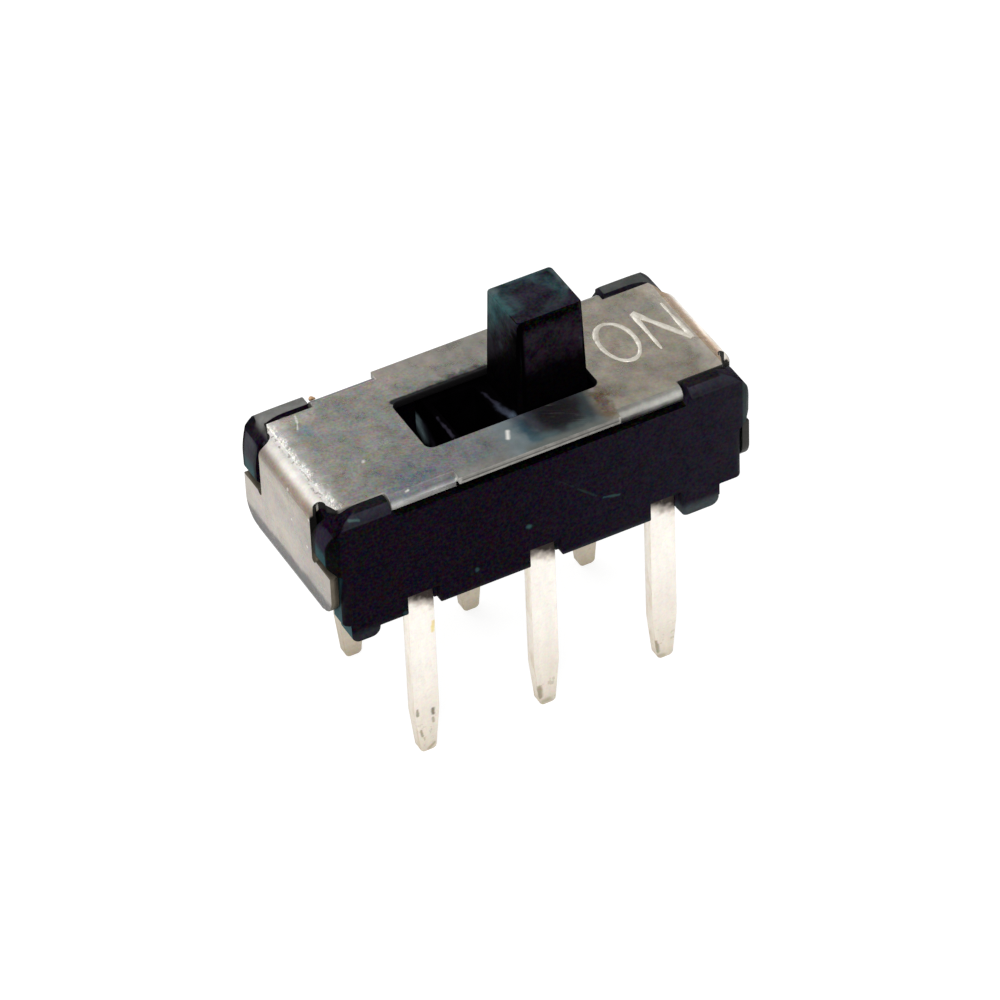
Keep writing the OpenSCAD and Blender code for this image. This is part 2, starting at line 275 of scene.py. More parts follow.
class NodeSheet:
    """A shader node tree, with one short call for each kind of node that the finishes use."""

    def __init__(self, tree):
        self.tree = tree

    def add(self, kind, inputs=None, **settings):
        """One node, with its settings and with its sockets set or linked."""
        made = self.tree.nodes.new(kind)
        for name, value in settings.items():
            setattr(made, name, value)
        for socket, value in (inputs or {}).items():
            self.feed(made.inputs[socket], value)
        return made

    def feed(self, socket, value):
        """Links a socket to another one, or sets its value."""
        if isinstance(value, bpy.types.NodeSocket):
            self.tree.links.new(value, socket)
        elif socket.type == "RGBA" and len(value) == 3:
            socket.default_value = (*value, 1.0)
        else:
            socket.default_value = value

    def place(self):
        """The point on the piece, in metres in the shared frame."""
        return self.add("ShaderNodeTexCoord").outputs["Object"]

    def axes(self, place):
        """The X, Y and Z of a point."""
        return self.add("ShaderNodeSeparateXYZ", {0: place}).outputs

    def facing(self):
        """The X, Y and Z of the way that the surface faces, which turn with the piece."""
        return self.axes(self.add("ShaderNodeTexCoord").outputs["Normal"])

    def math(self, operation, first, second=0.0, clamp=False):
        """One sum on numbers."""
        inputs = {0: first, 1: second}
        return self.add("ShaderNodeMath", inputs, operation=operation, use_clamp=clamp).outputs[0]

    def plus(self, first, second):
        """Two numbers added."""
        return self.math("ADD", first, second)

    def minus(self, first, second):
        """The first number less the second."""
        return self.math("SUBTRACT", first, second)

    def times(self, first, second):
        """Two numbers multiplied."""
        return self.math("MULTIPLY", first, second)

    def over(self, first, second):
        """The first number divided by the second."""
        return self.math("DIVIDE", first, second)

    def size(self, value):
        """A number without its sign."""
        return self.math("ABSOLUTE", value)

    def larger(self, first, second):
        """The larger of two numbers."""
        return self.math("MAXIMUM", first, second)

    def above(self, value, limit):
        """1 where a number is over the limit, and 0 elsewhere."""
        return self.math("GREATER_THAN", value, limit)

    def below(self, value, limit):
        """1 where a number is under the limit, and 0 elsewhere."""
        return self.math("LESS_THAN", value, limit)

    def all_of(self, *masks):
        """1 where every mask is 1."""
        product = masks[0]
        for mask in masks[1:]:
            product = self.times(product, mask)
        return product

    def vector(self, operation, first, second=(0.0, 0.0, 0.0), output="Vector"):
        """One sum on vectors."""
        made = self.add("ShaderNodeVectorMath", {0: first, 1: second}, operation=operation)
        return made.outputs[output]

    def ease(self, value, low, high, to_low=0.0, to_high=1.0):
        """to_low up to low, to_high from high on, and a smooth step between them."""
        inputs = dict(enumerate((value, low, high, to_low, to_high)))
        made = self.add("ShaderNodeMapRange", inputs, interpolation_type="SMOOTHSTEP")
        return made.outputs[0]

    def mix(self, mask, under, over, blend="MIX"):
        """Lays one colour over another where the mask is 1."""
        made = self.add("ShaderNodeMix", data_type="RGBA", blend_type=blend)
        self.feed(made.inputs[0], mask)
        self.feed(made.inputs[6], under)
        self.feed(made.inputs[7], over)
        return made.outputs[2]

    def shade(self, colour, factor):
        """Multiplies a colour by a number, or by the factors for red, green and blue."""
        return self.mix(1.0, colour, factor, "MULTIPLY")

    def tint(self, strength, colour, other):
        """Shifts a colour by what another one differs from middle grey."""
        return self.mix(strength, colour, other, "LINEAR_LIGHT")

    def bands(self, value, stops):
        """Colours along a value, as (position, colour) pairs."""
        made = self.add("ShaderNodeValToRGB", {"Fac": value})
        ramp = made.color_ramp
        while len(ramp.elements) < len(stops):
            ramp.elements.new(1.0)
        for element, (position, colour) in zip(ramp.elements, stops):
            element.position = position
            element.color = (*colour, 1.0)
        return made.outputs["Color"]

    def noise(self, place, scale, detail=2.0, roughness=0.5, distortion=0.0):
        """A cloudy pattern; scale is how many clouds there are in a metre."""
        inputs = {
            "Vector": place,
            "Scale": scale,
            "Detail": detail,
            "Roughness": roughness,
            "Distortion": distortion,
        }
        return self.add("ShaderNodeTexNoise", inputs)

    def wave(self, place, scale, detail=2.0, roughness=0.5):
        """A cloudy number either side of 0, which makes an outline waver."""
        return self.minus(self.noise(place, scale, detail, roughness).outputs["Fac"], 0.5)

    def group(self, name, inputs):
        """Places one of the shared effects, built the first time, and returns its outputs."""
        effect = bpy.data.node_groups.get(name) or SHARED_EFFECTS[name](name)
        return self.add("ShaderNodeGroup", inputs, node_tree=effect).outputs

    def mottle(self, place, scale, contrast):
        """The shared clouds: their Tone and their Tint."""
        return self.group("mottle", {"Vector": place, "Scale": scale, "Contrast": contrast})

    def grain(self, place, scale):
        """The shared fine grain: its Height and its Pits."""
        return self.group("grain", {"Vector": place, "Scale": scale})

    def specks(self, place, scale, size, share):
        """Mask of the shared specks."""
        inputs = {"Vector": place, "Scale": scale, "Size": size, "Share": share}
        return self.group("specks", inputs)["Mask"]

    def scratches(self, place, stretch, turn, fineness):
        """Mask of the shared hairline scratches."""
        inputs = {"Vector": place, "Stretch": stretch, "Turn": turn, "Fineness": fineness}
        return self.group("scratches", inputs)["Mask"]

    def mark(self, place, start, end, width, soft, waver):
        """Mask of one short mark on the surface: a scratch, a speck or a stain. Sizes in mm."""
        inputs = {
            "Vector": place,
            "Start": [c * MM for c in start],
            "End": [c * MM for c in end],
            "Width": width * MM,
            "Softness": soft,
            "Waver": waver * MM,
        }
        return self.group("mark", inputs)["Mask"]

    def paint(self, colour, place, marks, soft, waver):
        """Lays marks on a colour, each a (start, end, half width, colour, strength)."""
        for start, end, width, tone, strength in marks:
            mask = self.mark(place, start, end, width, soft, waver)
            colour = self.mix(self.times(mask, strength), colour, tone)
        return colour

    def bump(self, height, distance, normal=None):
        """A normal that follows a height map; distance in metres is the height of 1."""
        made = self.add("ShaderNodeBump", {"Height": height, "Distance": distance})
        if normal is not None:
            self.feed(made.inputs["Normal"], normal)
        return made.outputs["Normal"]


def new_group(name, inputs, outputs):
    """An empty shader node group. An input is a vector, or a number if its value is one."""
    tree = bpy.data.node_groups.new(name, "ShaderNodeTree")
    for label, value in inputs.items():
        kind = "NodeSocketFloat" if isinstance(value, float) else "NodeSocketVector"
        socket = tree.interface.new_socket(label, in_out="INPUT", socket_type=kind)
        if value is not None:
            socket.default_value = value
    for label, kind in outputs.items():
        tree.interface.new_socket(label, in_out="OUTPUT", socket_type=kind)
    sheet = NodeSheet(tree)
    return sheet, sheet.add("NodeGroupInput").outputs, sheet.add("NodeGroupOutput").inputs


def mottle_group(name):
    """Cloudy tone and a faint play of colours, as plating and moulded plastic have."""
    inputs = {"Vector": None, "Scale": 2000.0, "Contrast": 1.0}
    outputs = {"Tone": "NodeSocketFloat", "Tint": "NodeSocketColor"}
    sheet, given, result = new_group(name, inputs, outputs)
    clouds = sheet.noise(given["Vector"], given["Scale"], 5.0, 0.62, 0.3)
    spread = sheet.times(sheet.minus(clouds.outputs["Fac"], 0.5), given["Contrast"])
    sheet.feed(result["Tone"], sheet.math("ADD", spread, 0.5, clamp=True))
    tint = sheet.noise(given["Vector"], sheet.times(given["Scale"], 1.7), 3.0, 0.6)
    sheet.feed(result["Tint"], tint.outputs["Color"])
    return sheet.tree


def grain_group(name):
    """Fine even grain: its height, and a mask of the deepest pits."""
    inputs = {"Vector": None, "Scale": 20000.0}
    outputs = {"Height": "NodeSocketFloat", "Pits": "NodeSocketFloat"}
    sheet, given, result = new_group(name, inputs, outputs)
    grain = sheet.noise(given["Vector"], given["Scale"], 3.0, 0.65)
    sheet.feed(result["Height"], grain.outputs["Fac"])
    pits = sheet.noise(given["Vector"], sheet.times(given["Scale"], 0.35))
    sheet.feed(result["Pits"], sheet.ease(pits.outputs["Fac"], 0.62, 0.74))
    return sheet.tree


def specks_group(name):
    """Scattered specks: a mask that is 1 on each speck."""
    inputs = {"Vector": None, "Scale": 3000.0, "Size": 0.12, "Share": 0.15}
    sheet, given, result = new_group(name, inputs, {"Mask": "NodeSocketFloat"})
    cells = sheet.add("ShaderNodeTexVoronoi", {"Vector": given["Vector"], "Scale": given["Scale"]})
    near = sheet.below(cells.outputs["Distance"], given["Size"])
    luck = sheet.add("ShaderNodeSeparateColor", {0: cells.outputs["Color"]}).outputs[0]
    chosen = sheet.below(luck, given["Share"])
    sheet.feed(result["Mask"], sheet.times(near, chosen))
    return sheet.tree


def scratches_group(name):
    """Fine hairline scratches in one direction: a mask that is 1 on each."""
    inputs = {"Vector": None, "Stretch": (400.0, 6000.0, 6000.0), "Turn": 0.4, "Fineness": 0.012}
    sheet, given, result = new_group(name, inputs, {"Mask": "NodeSocketFloat"})
    turned = sheet.add("ShaderNodeVectorRotate", {"Vector": given["Vector"], "Angle": given["Turn"]})
    drawn = sheet.vector("MULTIPLY", turned.outputs[0], given["Stretch"])
    hairline = sheet.below(sheet.size(sheet.wave(drawn, 1.0, 2.0, 0.6)), given["Fineness"])
    patches = sheet.noise(given["Vector"], 900.0, 1.0).outputs["Fac"]
    sheet.feed(result["Mask"], sheet.times(hairline, sheet.ease(patches, 0.5, 0.62)))
    return sheet.tree


def mark_group(name):
    """One mark along a straight line, with a soft or wavering outline."""
    inputs = {
        "Vector": None,
        "Start": None,
        "End": None,
        "Width": 0.1 * MM,
        "Softness": 0.4,
        "Waver": 0.0,
    }
    sheet, given, result = new_group(name, inputs, {"Mask": "NodeSocketFloat"})
    from_start = sheet.vector("SUBTRACT", given["Vector"], given["Start"])
    line = sheet.vector("SUBTRACT", given["End"], given["Start"])
    # The 1e-12 keeps a mark of no length, which is a dot, from dividing by nothing.
    square = sheet.plus(sheet.vector("DOT_PRODUCT", line, line, "Value"), 1e-12)
    along = sheet.vector("DOT_PRODUCT", from_start, line, "Value")
    share = sheet.math("DIVIDE", along, square, clamp=True)
    reached = sheet.add("ShaderNodeVectorMath", {0: line, "Scale": share}, operation="SCALE")
    nearest = sheet.vector("SUBTRACT", from_start, reached.outputs[0])
    distance = sheet.vector("LENGTH", nearest, output="Value")
    edge = sheet.plus(distance, sheet.times(sheet.wave(given["Vector"], 6000.0), given["Waver"]))
    inner = sheet.times(given["Width"], sheet.minus(1.0, given["Softness"]))
    outer = sheet.times(given["Width"], sheet.plus(1.0, given["Softness"]))
    sheet.feed(result["Mask"], sheet.ease(edge, inner, outer, 1.0, 0.0))
    return sheet.tree


SHARED_EFFECTS = {
    "mottle": mottle_group,
    "grain": grain_group,
    "specks": specks_group,
    "scratches": scratches_group,
    "mark": mark_group,
}


def built_in(tree, kind):
    """The node of one kind that a new node tree comes with."""
    return next(node for node in tree.nodes if node.type == kind)


def new_finish(name, metallic, **shader_values):
    """A material with one Principled shader. Returns (material, sheet, shader inputs)."""
    material = bpy.data.materials.new(name)
    material.use_nodes = True
    sheet = NodeSheet(material.node_tree)
    shader = built_in(sheet.tree, "BSDF_PRINCIPLED")
    shader.inputs["Metallic"].default_value = metallic
    for socket, value in shader_values.items():
        sheet.feed(shader.inputs[socket.replace("_", " ")], value)
    return material, sheet, shader.inputs


# ---------------------------------------------------------------- finishes


def grey(level):
    """The colour with the same level of red, green and blue."""
    return (level, level, level)


WHITE = grey(1.0)
BLACK = (0.0006, 0.0005, 0.0006)
NICK = (1.0, 0.98, 0.93)
DUSTY = (0.05, 0.13, 0.13)

# A row of each table of marks is: start and end in mm, half width in mm, colour, and how strongly it
# shows. Broad tones of the plate, with painted shade and reflection of the knob along the window's
# far edge and painted shade over the left lip, at (x, y):
PLATE_TONES_AND_SHADE = [
    ((-2.3, 1.55), (-0.3, 1.52), 0.30, (0.47, 0.425, 0.375), 0.80),
    ((-1.4, 1.45), (-0.7, 1.50), 0.20, (0.50, 0.44, 0.40), 0.60),
    ((-3.75, 1.25), (-3.25, 1.22), 0.15, (0.62, 0.57, 0.50), 0.75),
    ((-1.75, 1.60), (-1.38, 1.25), 0.11, (0.50, 0.39, 0.37), 0.60),
    # Painted shade and reflection of the knob along the window's far edge:
    ((-1.3, 0.85), (0.15, 0.84), 0.08, (0.23, 0.215, 0.20), 0.60),
    ((-0.7, 0.82), (0.15, 0.80), 0.08, (0.10, 0.095, 0.09), 0.70),
    # Painted shade over the left lip:
    ((-2.85, -1.43), (-1.75, -1.43), 0.07, (0.215, 0.225, 0.235), 0.75),
    ((-1.35, -0.75), (-0.95, -1.25), 0.22, (0.245, 0.25, 0.25), 0.75),
    ((-2.35, -0.70), (-2.30, -1.10), 0.16, (0.29, 0.285, 0.28), 0.60),
    ((2.75, -0.95), (3.45, -1.15), 0.32, (0.41, 0.365, 0.30), 0.80),
    ((1.85, -1.02), (2.2, -1.10), 0.18, (0.39, 0.34, 0.27), 0.60),
    ((-2.05, -0.50), (-2.05, 0.15), 0.22, (0.29, 0.285, 0.27), 0.70),
    ((-2.6, -1.15), (-0.5, -1.15), 0.36, (0.275, 0.285, 0.30), 0.85),
    ((-2.15, -1.40), (-2.0, -1.20), 0.12, (0.19, 0.22, 0.30), 0.50),
    ((-3.42, 0.92), (-3.38, 0.74), 0.07, (0.33, 0.43, 0.47), 0.70),
    ((3.05, 0.95), (3.7, 0.80), 0.16, (0.45, 0.44, 0.42), 0.40),
    ((1.75, -0.75), (1.95, -1.15), 0.20, (0.37, 0.33, 0.27), 0.70),
    ((1.58, -0.95), (1.50, -1.50), 0.13, (0.20, 0.135, 0.075), 0.85),
]
# Painted reflection of the knob, dark and teal, on the plate in front of it, at (x, y):
KNOB_REFLECTION_TONES = [
    ((0.03, -0.70), (0.05, -0.88), 0.14, (0.10, 0.112, 0.15), 0.90),
    ((0.02, -1.00), (0.04, -1.34), 0.14, (0.035, 0.10, 0.14), 0.95),
    ((0.06, -1.42), (0.10, -1.50), 0.12, (0.07, 0.14, 0.165), 0.85),
    ((0.60, -0.98), (0.92, -0.98), 0.50, (0.012, 0.009, 0.013), 1.00),
    ((0.60, -1.15), (0.80, -1.15), 0.40, (0.012, 0.009, 0.013), 1.00),
    ((0.22, -0.80), (0.24, -1.22), 0.07, (0.038, 0.040, 0.060), 0.75),
    ((1.20, -1.12), (1.18, -1.34), 0.09, (0.032, 0.052, 0.058), 0.80),
    ((1.40, -0.74), (1.42, -0.98), 0.10, (0.030, 0.058, 0.062), 0.95),
    ((1.46, -1.14), (1.44, -1.45), 0.10, (0.125, 0.095, 0.062), 0.85),
    ((0.22, -1.47), (0.42, -1.50), 0.08, (0.075, 0.125, 0.130), 0.80),
    ((0.75, -1.52), (1.10, -1.50), 0.08, (0.080, 0.115, 0.115), 0.80),
    ((-0.20, -1.66), (1.35, -1.66), 0.08, (0.165, 0.18, 0.165), 0.95),
]
# Bright nicks in the plating, at (x, y):
PLATE_NICKS = [
    ((-0.30, -1.02), (-0.39, -1.20), 0.034, NICK, 0.85),
    ((-2.92, -0.45), (-2.90, -0.42), 0.026, NICK, 0.85),
    ((-3.39, 1.30), (-3.44, 1.12), 0.020, NICK, 0.85),
    ((-3.45, 1.10), (-3.52, 0.95), 0.014, NICK, 0.85),
    ((-2.63, -1.54), (-2.58, -1.53), 0.020, NICK, 0.85),
]
# Small marks on the housing's front, at (x, z):
HOUSING_MARKS = [
    ((0.32, 1.97), (0.60, 1.72), 0.016, DUSTY, 0.10),
    ((0.68, 1.64), (1.05, 1.31), 0.018, DUSTY, 0.16),
    ((1.20, 1.21), (1.52, 1.13), 0.025, DUSTY, 0.50),
    ((-0.36, 1.20), (-0.34, 1.19), 0.050, DUSTY, 0.80),
    ((-1.43, 0.66), (-1.42, 0.63), 0.035, DUSTY, 0.60),
    ((-2.91, 0.29), (-2.90, 0.28), 0.040, DUSTY, 0.40),
]
# Painted sheen on the knob, and painted light on streaks of the slider's base, at (x, y, z):
SLIDER_SHEEN = [
    ((0.30, 0.56, 4.80), (1.45, 0.54, 4.80), 0.06, (0.045, 0.088, 0.095), 0.70),
    ((0.50, 0.42, 4.81), (1.20, 0.42, 4.81), 0.07, (0.038, 0.066, 0.074), 0.50),
    ((0.26, 0.34, 4.80), (0.26, -0.22, 4.80), 0.07, (0.044, 0.105, 0.110), 0.80),
    ((0.22, 0.56, 4.80), (0.30, 0.48, 4.80), 0.09, (0.120, 0.150, 0.155), 0.75),
    ((0.40, 0.48, 4.81), (0.44, -0.15, 4.81), 0.10, (0.034, 0.062, 0.068), 0.55),
    ((1.10, 0.36, 4.81), (1.18, 0.20, 4.81), 0.08, (0.038, 0.066, 0.078), 0.60),
    ((1.30, 0.30, 4.81), (1.32, -0.22, 4.81), 0.09, (0.036, 0.078, 0.086), 0.65),
    ((1.48, 0.50, 4.80), (1.48, -0.10, 4.80), 0.05, (0.080, 0.115, 0.120), 0.70),
    ((0.90, -0.40, 4.81), (1.20, -0.35, 4.81), 0.10, (0.034, 0.044, 0.050), 0.50),
    ((0.20, 0.46, 4.62), (0.18, 0.44, 4.15), 0.13, (0.062, 0.105, 0.108), 0.80),
    ((0.20, 0.30, 4.58), (0.19, 0.28, 4.36), 0.10, (0.034, 0.082, 0.090), 0.65),
    ((0.18, 0.06, 3.92), (0.18, 0.04, 3.88), 0.06, (0.026, 0.033, 0.038), 0.70),
    ((-1.10, 0.20, 2.62), (-1.08, -0.38, 2.62), 0.026, (0.040, 0.036, 0.055), 0.65),
    ((-0.05, 0.43, 2.62), (0.02, -0.05, 2.62), 0.030, (0.042, 0.040, 0.062), 0.60),
    ((0.00, -0.06, 2.62), (0.10, -0.50, 2.62), 0.060, (0.062, 0.070, 0.105), 0.75),
    ((0.10, -0.46, 2.62), (0.14, -0.56, 2.62), 0.070, (0.080, 0.110, 0.150), 0.75),
    ((-1.11, 0.95, 1.95), (-1.11, 0.75, 1.85), 0.15, (0.420, 0.580, 0.640), 0.90),
    ((-1.11, 0.70, 2.05), (-1.11, 0.40, 1.90), 0.10, (0.050, 0.044, 0.066), 0.70),
]
# Pits and stains on the front terminals, at (x, z):
PIN_MARKS = [
    ((-2.70, -2.36), (-2.69, -2.50), 0.028, (0.30, 0.26, 0.19), 0.85),
    ((-2.38, -2.46), (-2.38, -2.58), 0.036, (0.16, 0.13, 0.10), 0.85),
    ((-2.39, -2.68), (-2.38, -2.78), 0.026, (0.40, 0.35, 0.28), 0.85),
    ((-2.64, -2.90), (-2.62, -3.04), 0.024, (0.36, 0.31, 0.23), 0.85),
    ((-2.50, -3.40), (-2.38, -3.30), 0.030, (0.42, 0.36, 0.26), 0.85),
    ((-2.28, -0.36), (-2.29, -0.56), 0.034, (0.80, 0.66, 0.30), 0.85),
    ((-0.18, -2.98), (-0.16, -3.22), 0.050, (0.30, 0.26, 0.18), 0.85),
    ((-0.10, -3.36), (0.02, -3.36), 0.060, (0.42, 0.37, 0.28), 0.85),
    ((2.30, -2.98), (2.34, -3.25), 0.034, (0.30, 0.26, 0.18), 0.85),
    ((2.36, -3.38), (2.46, -3.40), 0.050, (0.46, 0.40, 0.30), 0.85),
]

# The tables below are colours along a surface, as (position, colour). Round the left and the right
# bend, where 0 is level with the bend's centre and 1 is at the plate, they are a painted highlight on
# the crown and a painted brown reflection under it:
LEFT_BEND_LIGHT = [
    (0.00, (0.305, 0.275, 0.225)),
    (0.06, (0.300, 0.255, 0.212)),
    (0.11, (0.350, 0.295, 0.243)),
    (0.16, (0.365, 0.290, 0.232)),
    (0.22, (0.340, 0.262, 0.205)),
    (0.28, (0.336, 0.262, 0.208)),
    (0.34, (0.366, 0.292, 0.240)),
    (0.39, (0.420, 0.345, 0.290)),
    (0.44, (0.530, 0.455, 0.395)),
    (0.50, (0.680, 0.620, 0.560)),
    (0.56, (0.830, 0.780, 0.730)),
    (0.62, (0.910, 0.870, 0.820)),
    (0.70, (0.910, 0.870, 0.820)),
    (0.78, (0.860, 0.820, 0.770)),
    (0.85, (0.790, 0.760, 0.730)),
    (0.93, (0.740, 0.715, 0.690)),
    (1.00, (0.760, 0.735, 0.710)),
]
RIGHT_BEND_LIGHT = [
    (0.00, (0.65, 0.58, 0.50)),
    (0.30, (0.90, 0.86, 0.80)),
    (0.50, (0.98, 0.94, 0.88)),
    (0.60, (0.93, 0.83, 0.73)),
    (0.66, (0.80, 0.66, 0.53)),
    (0.72, (0.63, 0.46, 0.325)),
    (0.78, (0.55, 0.38, 0.255)),
    (0.89, (0.475, 0.34, 0.225)),
    (0.945, (0.505, 0.39, 0.27)),
    (1.00, (0.64, 0.53, 0.41)),
]
# Up an end wall, where 1 is END_WALL_HEIGHT over the board, with painted shade low down where it turns
# under:
END_WALL_HEIGHT = 2.5 * MM
END_WALL_WITH_SHADE = [
    (0.30, (0.072, 0.067, 0.064)),
    (0.37, (0.108, 0.098, 0.092)),
    (0.41, (0.38, 0.345, 0.305)),
    (0.55, (0.445, 0.40, 0.35)),
    (0.80, (0.38, 0.34, 0.30)),
    (0.92, (0.415, 0.37, 0.32)),
    (1.00, (0.33, 0.29, 0.235)),
]
# Painted highlight and shade down a side lip, from the plate's level, 0, to the lip's foot, 1:
LIP_DEPTH = 0.26 * MM
LEFT_LIP_LIGHT = [
    (0.00, (0.20, 0.20, 0.205)),
    (0.17, (0.13, 0.135, 0.145)),
    (0.30, (0.26, 0.265, 0.27)),
    (0.42, (0.46, 0.47, 0.47)),
    (0.52, (0.68, 0.69, 0.69)),
    (0.60, (0.88, 0.88, 0.86)),
]
RIGHT_LIP_LIGHT = [
    (0.00, (0.285, 0.27, 0.245)),
    (0.10, (0.37, 0.36, 0.33)),
    (0.17, (0.53, 0.53, 0.50)),
    (0.26, (0.66, 0.66, 0.61)),
    (0.42, (0.75, 0.74, 0.69)),
    (0.52, (0.62, 0.62, 0.58)),
    (0.62, (0.43, 0.43, 0.40)),
    (0.76, (0.20, 0.20, 0.19)),
    (0.88, grey(0.04)),
]
# Painted light and shade up the knob's front and sides, where 1 is KNOB_SPAN over the board, and
# each colour is added to the plastic's own:
KNOB_SPAN = 5.0 * MM
KNOB_FRONT_LIGHT = [
    (0.68, (0.0, 0.0, 0.0)),
    (0.72, (0.0012, 0.0006, 0.0015)),
    (0.76, (0.0075, 0.0050, 0.0080)),
    (0.80, (0.0150, 0.0100, 0.0155)),
    (0.84, (0.0190, 0.0140, 0.0210)),
    (0.88, (0.0205, 0.0155, 0.0225)),
    (0.905, (0.0165, 0.0125, 0.0195)),
    (0.930, (0.0060, 0.0038, 0.0066)),
    (0.942, (0.0, 0.0, 0.0)),
]
KNOB_SIDE_LIGHT = [
    (0.635, (0.0, 0.0, 0.0)),
    (0.665, (0.0090, 0.0070, 0.0100)),
    (0.71, (0.0160, 0.0145, 0.0195)),
    (0.76, (0.0220, 0.0220, 0.0285)),
    (0.80, (0.0260, 0.0350, 0.0420)),
    (0.86, (0.0310, 0.0680, 0.0770)),
    (0.92, (0.0620, 0.1200, 0.1260)),
]
# Down a terminal, from the board, 0, to LEG_LENGTH below it, 1, as factors on the tin's colour:
LEG_LENGTH = 3.5 * MM
LEG_TONES = [
    (0.30, grey(1.08)),
    (0.55, (1.00, 0.98, 0.96)),
    (0.80, (0.90, 0.87, 0.82)),
    (0.90, (0.84, 0.80, 0.74)),
    (1.00, (0.66, 0.61, 0.54)),
]


def scaled(colour, factor):
    """A colour made lighter or darker."""
    return tuple(min(1.0, part * factor) for part in colour)


def shifted(colour, change):
    """A colour with something added to each of its parts."""
    return tuple(part + more for part, more in zip(colour, change))


def on_face(marks, axis, level):
    """Marks drawn on a flat face, with the missing coordinate of their ends put in."""
    placed = []
    for start, end, *looks in marks:
        ends = ((*point[:axis], level, *point[axis:]) for point in (start, end))
        placed.append((*ends, *looks))
    return placed


def plate_colour(sheet, place, metal):
    """The plate: cooler and darker on the left, warmer on the right, with broad tones and some painted
    shade.
    """
    x = sheet.axes(place)[0]
    warm = tuple(part * factor for part, factor in zip(metal, (1.36, 1.24, 1.12)))
    colour = sheet.mix(sheet.ease(x, -0.8 * MM, 3.0 * MM), metal, warm)
    return sheet.paint(colour, place, on_face(PLATE_TONES_AND_SHADE, 2, PLATE_LEVEL), 0.9, 0.35)


def painted_knob_reflection(sheet, place):
    """The knob's painted reflection in front of it, hiding the metal: its mask, and its dark and teal
    colour.
    """
    x, y, z = sheet.axes(place)
    knob_reflection = sheet.all_of(
        sheet.ease(x, -0.85 * MM, -0.30 * MM),
        sheet.ease(x, 1.30 * MM, 1.58 * MM, 1.0, 0.0),
        sheet.ease(y, -0.71 * MM, -0.60 * MM, 1.0, 0.0),
        sheet.ease(z, 2.74 * MM, 2.83 * MM),
    )
    reflection_base = (0.180, 0.222, 0.235)
    return knob_reflection, sheet.paint(reflection_base, place, on_face(KNOB_REFLECTION_TONES, 2, PLATE_LEVEL), 0.9, 0.20)


def painted_bend_light(sheet, place, wave):
    """Round each bend: a painted highlight on its crown, and a painted brown reflection under it.

    Gives how far round the bend a point is, 0 to 1, and the colour there."""
    x, _, z = sheet.axes(place)
    turn = sheet.math("ARCTAN2", sheet.minus(z, BEND_LOW), sheet.minus(sheet.size(x), BEND_START))
    ragged = sheet.times(wave, sheet.ease(x, 0.0, 1.0 * MM, 0.08, 0.50))
    share = sheet.over(sheet.plus(turn, ragged), 0.5 * math.pi)
    left_bend = sheet.bands(share, LEFT_BEND_LIGHT)
    right_bend = sheet.bands(share, RIGHT_BEND_LIGHT)
    return share, sheet.mix(sheet.above(x, 0.0), left_bend, right_bend)


def wall_colour_and_shade(sheet, place, wave):
    """The end walls: duller, darker towards the front, and near black in painted shade where they turn under
    the housing.
    """
    _, y, z = sheet.axes(place)
    level = sheet.plus(z, sheet.times(wave, 0.20 * MM))
    colour = sheet.bands(sheet.over(level, END_WALL_HEIGHT), END_WALL_WITH_SHADE)
    return sheet.shade(colour, sheet.ease(y, -1.0 * MM, -0.3 * MM, 0.82, 1.0))


def painted_lip_light(sheet, place, wave):
    """The side lips where they turn down, with painted highlight and painted shade: their mask and their
    colour.
    """
    x, y, z = sheet.axes(place)
    side = sheet.size(x)
    lip = sheet.all_of(
        sheet.ease(sheet.size(y), 1.475 * MM, 1.485 * MM),
        sheet.ease(side, 1.66 * MM, 1.68 * MM),
        sheet.below(side, 3.2 * MM),
    )
    down = sheet.over(sheet.minus(COVER_TOP, z), LIP_DEPTH)
    down = sheet.plus(down, sheet.times(wave, 0.30))
    left_lip = sheet.bands(down, LEFT_LIP_LIGHT)
    right_lip = sheet.bands(down, RIGHT_LIP_LIGHT)
    return lip, sheet.mix(sheet.above(x, 0.0), left_lip, right_lip)


def plating_bloom(sheet, place, colour, clouds, quiet):
    """Cloudy tone and a faint pink, green and blue, weaker on bends and lips and where it is quiet."""
    x, y, z = sheet.axes(place)
    colour = sheet.shade(colour, sheet.ease(clouds["Tone"], 0.0, 1.0, 0.82, 1.18))
    fine = sheet.mottle(place, 11000.0, 1.0)
    strength = sheet.all_of(
        sheet.ease(sheet.size(x), 3.6 * MM, 4.0 * MM, 1.0, 0.55),
        sheet.ease(x, -1.6 * MM, -0.6 * MM, 1.5, 1.0),
        sheet.ease(sheet.size(y), 1.42 * MM, 1.50 * MM, 1.0, 0.45),
        sheet.ease(z, 0.8 * MM, 1.2 * MM, 0.35, 1.0),
        sheet.ease(quiet, 0.0, 1.0, 1.0, 0.12),
    )
    colour = sheet.tint(sheet.times(strength, 0.06), colour, clouds["Tint"])
    return sheet.tint(sheet.times(strength, 0.20), colour, fine["Tint"])


def crown_pits(sheet, place):
    """Mask of the dark pits where the crown of the left bend begins."""
    x, _, z = sheet.axes(place)
    from_crown = sheet.size(sheet.plus(x, 4.00 * MM))
    return sheet.all_of(
        sheet.ease(from_crown, 0.02 * MM, 0.07 * MM, 1.0, 0.0),
        sheet.ease(sheet.noise(place, 9500.0, 3.0, 0.6).outputs["Fac"], 0.54, 0.60),
        sheet.above(z, 2.6 * MM),
    )


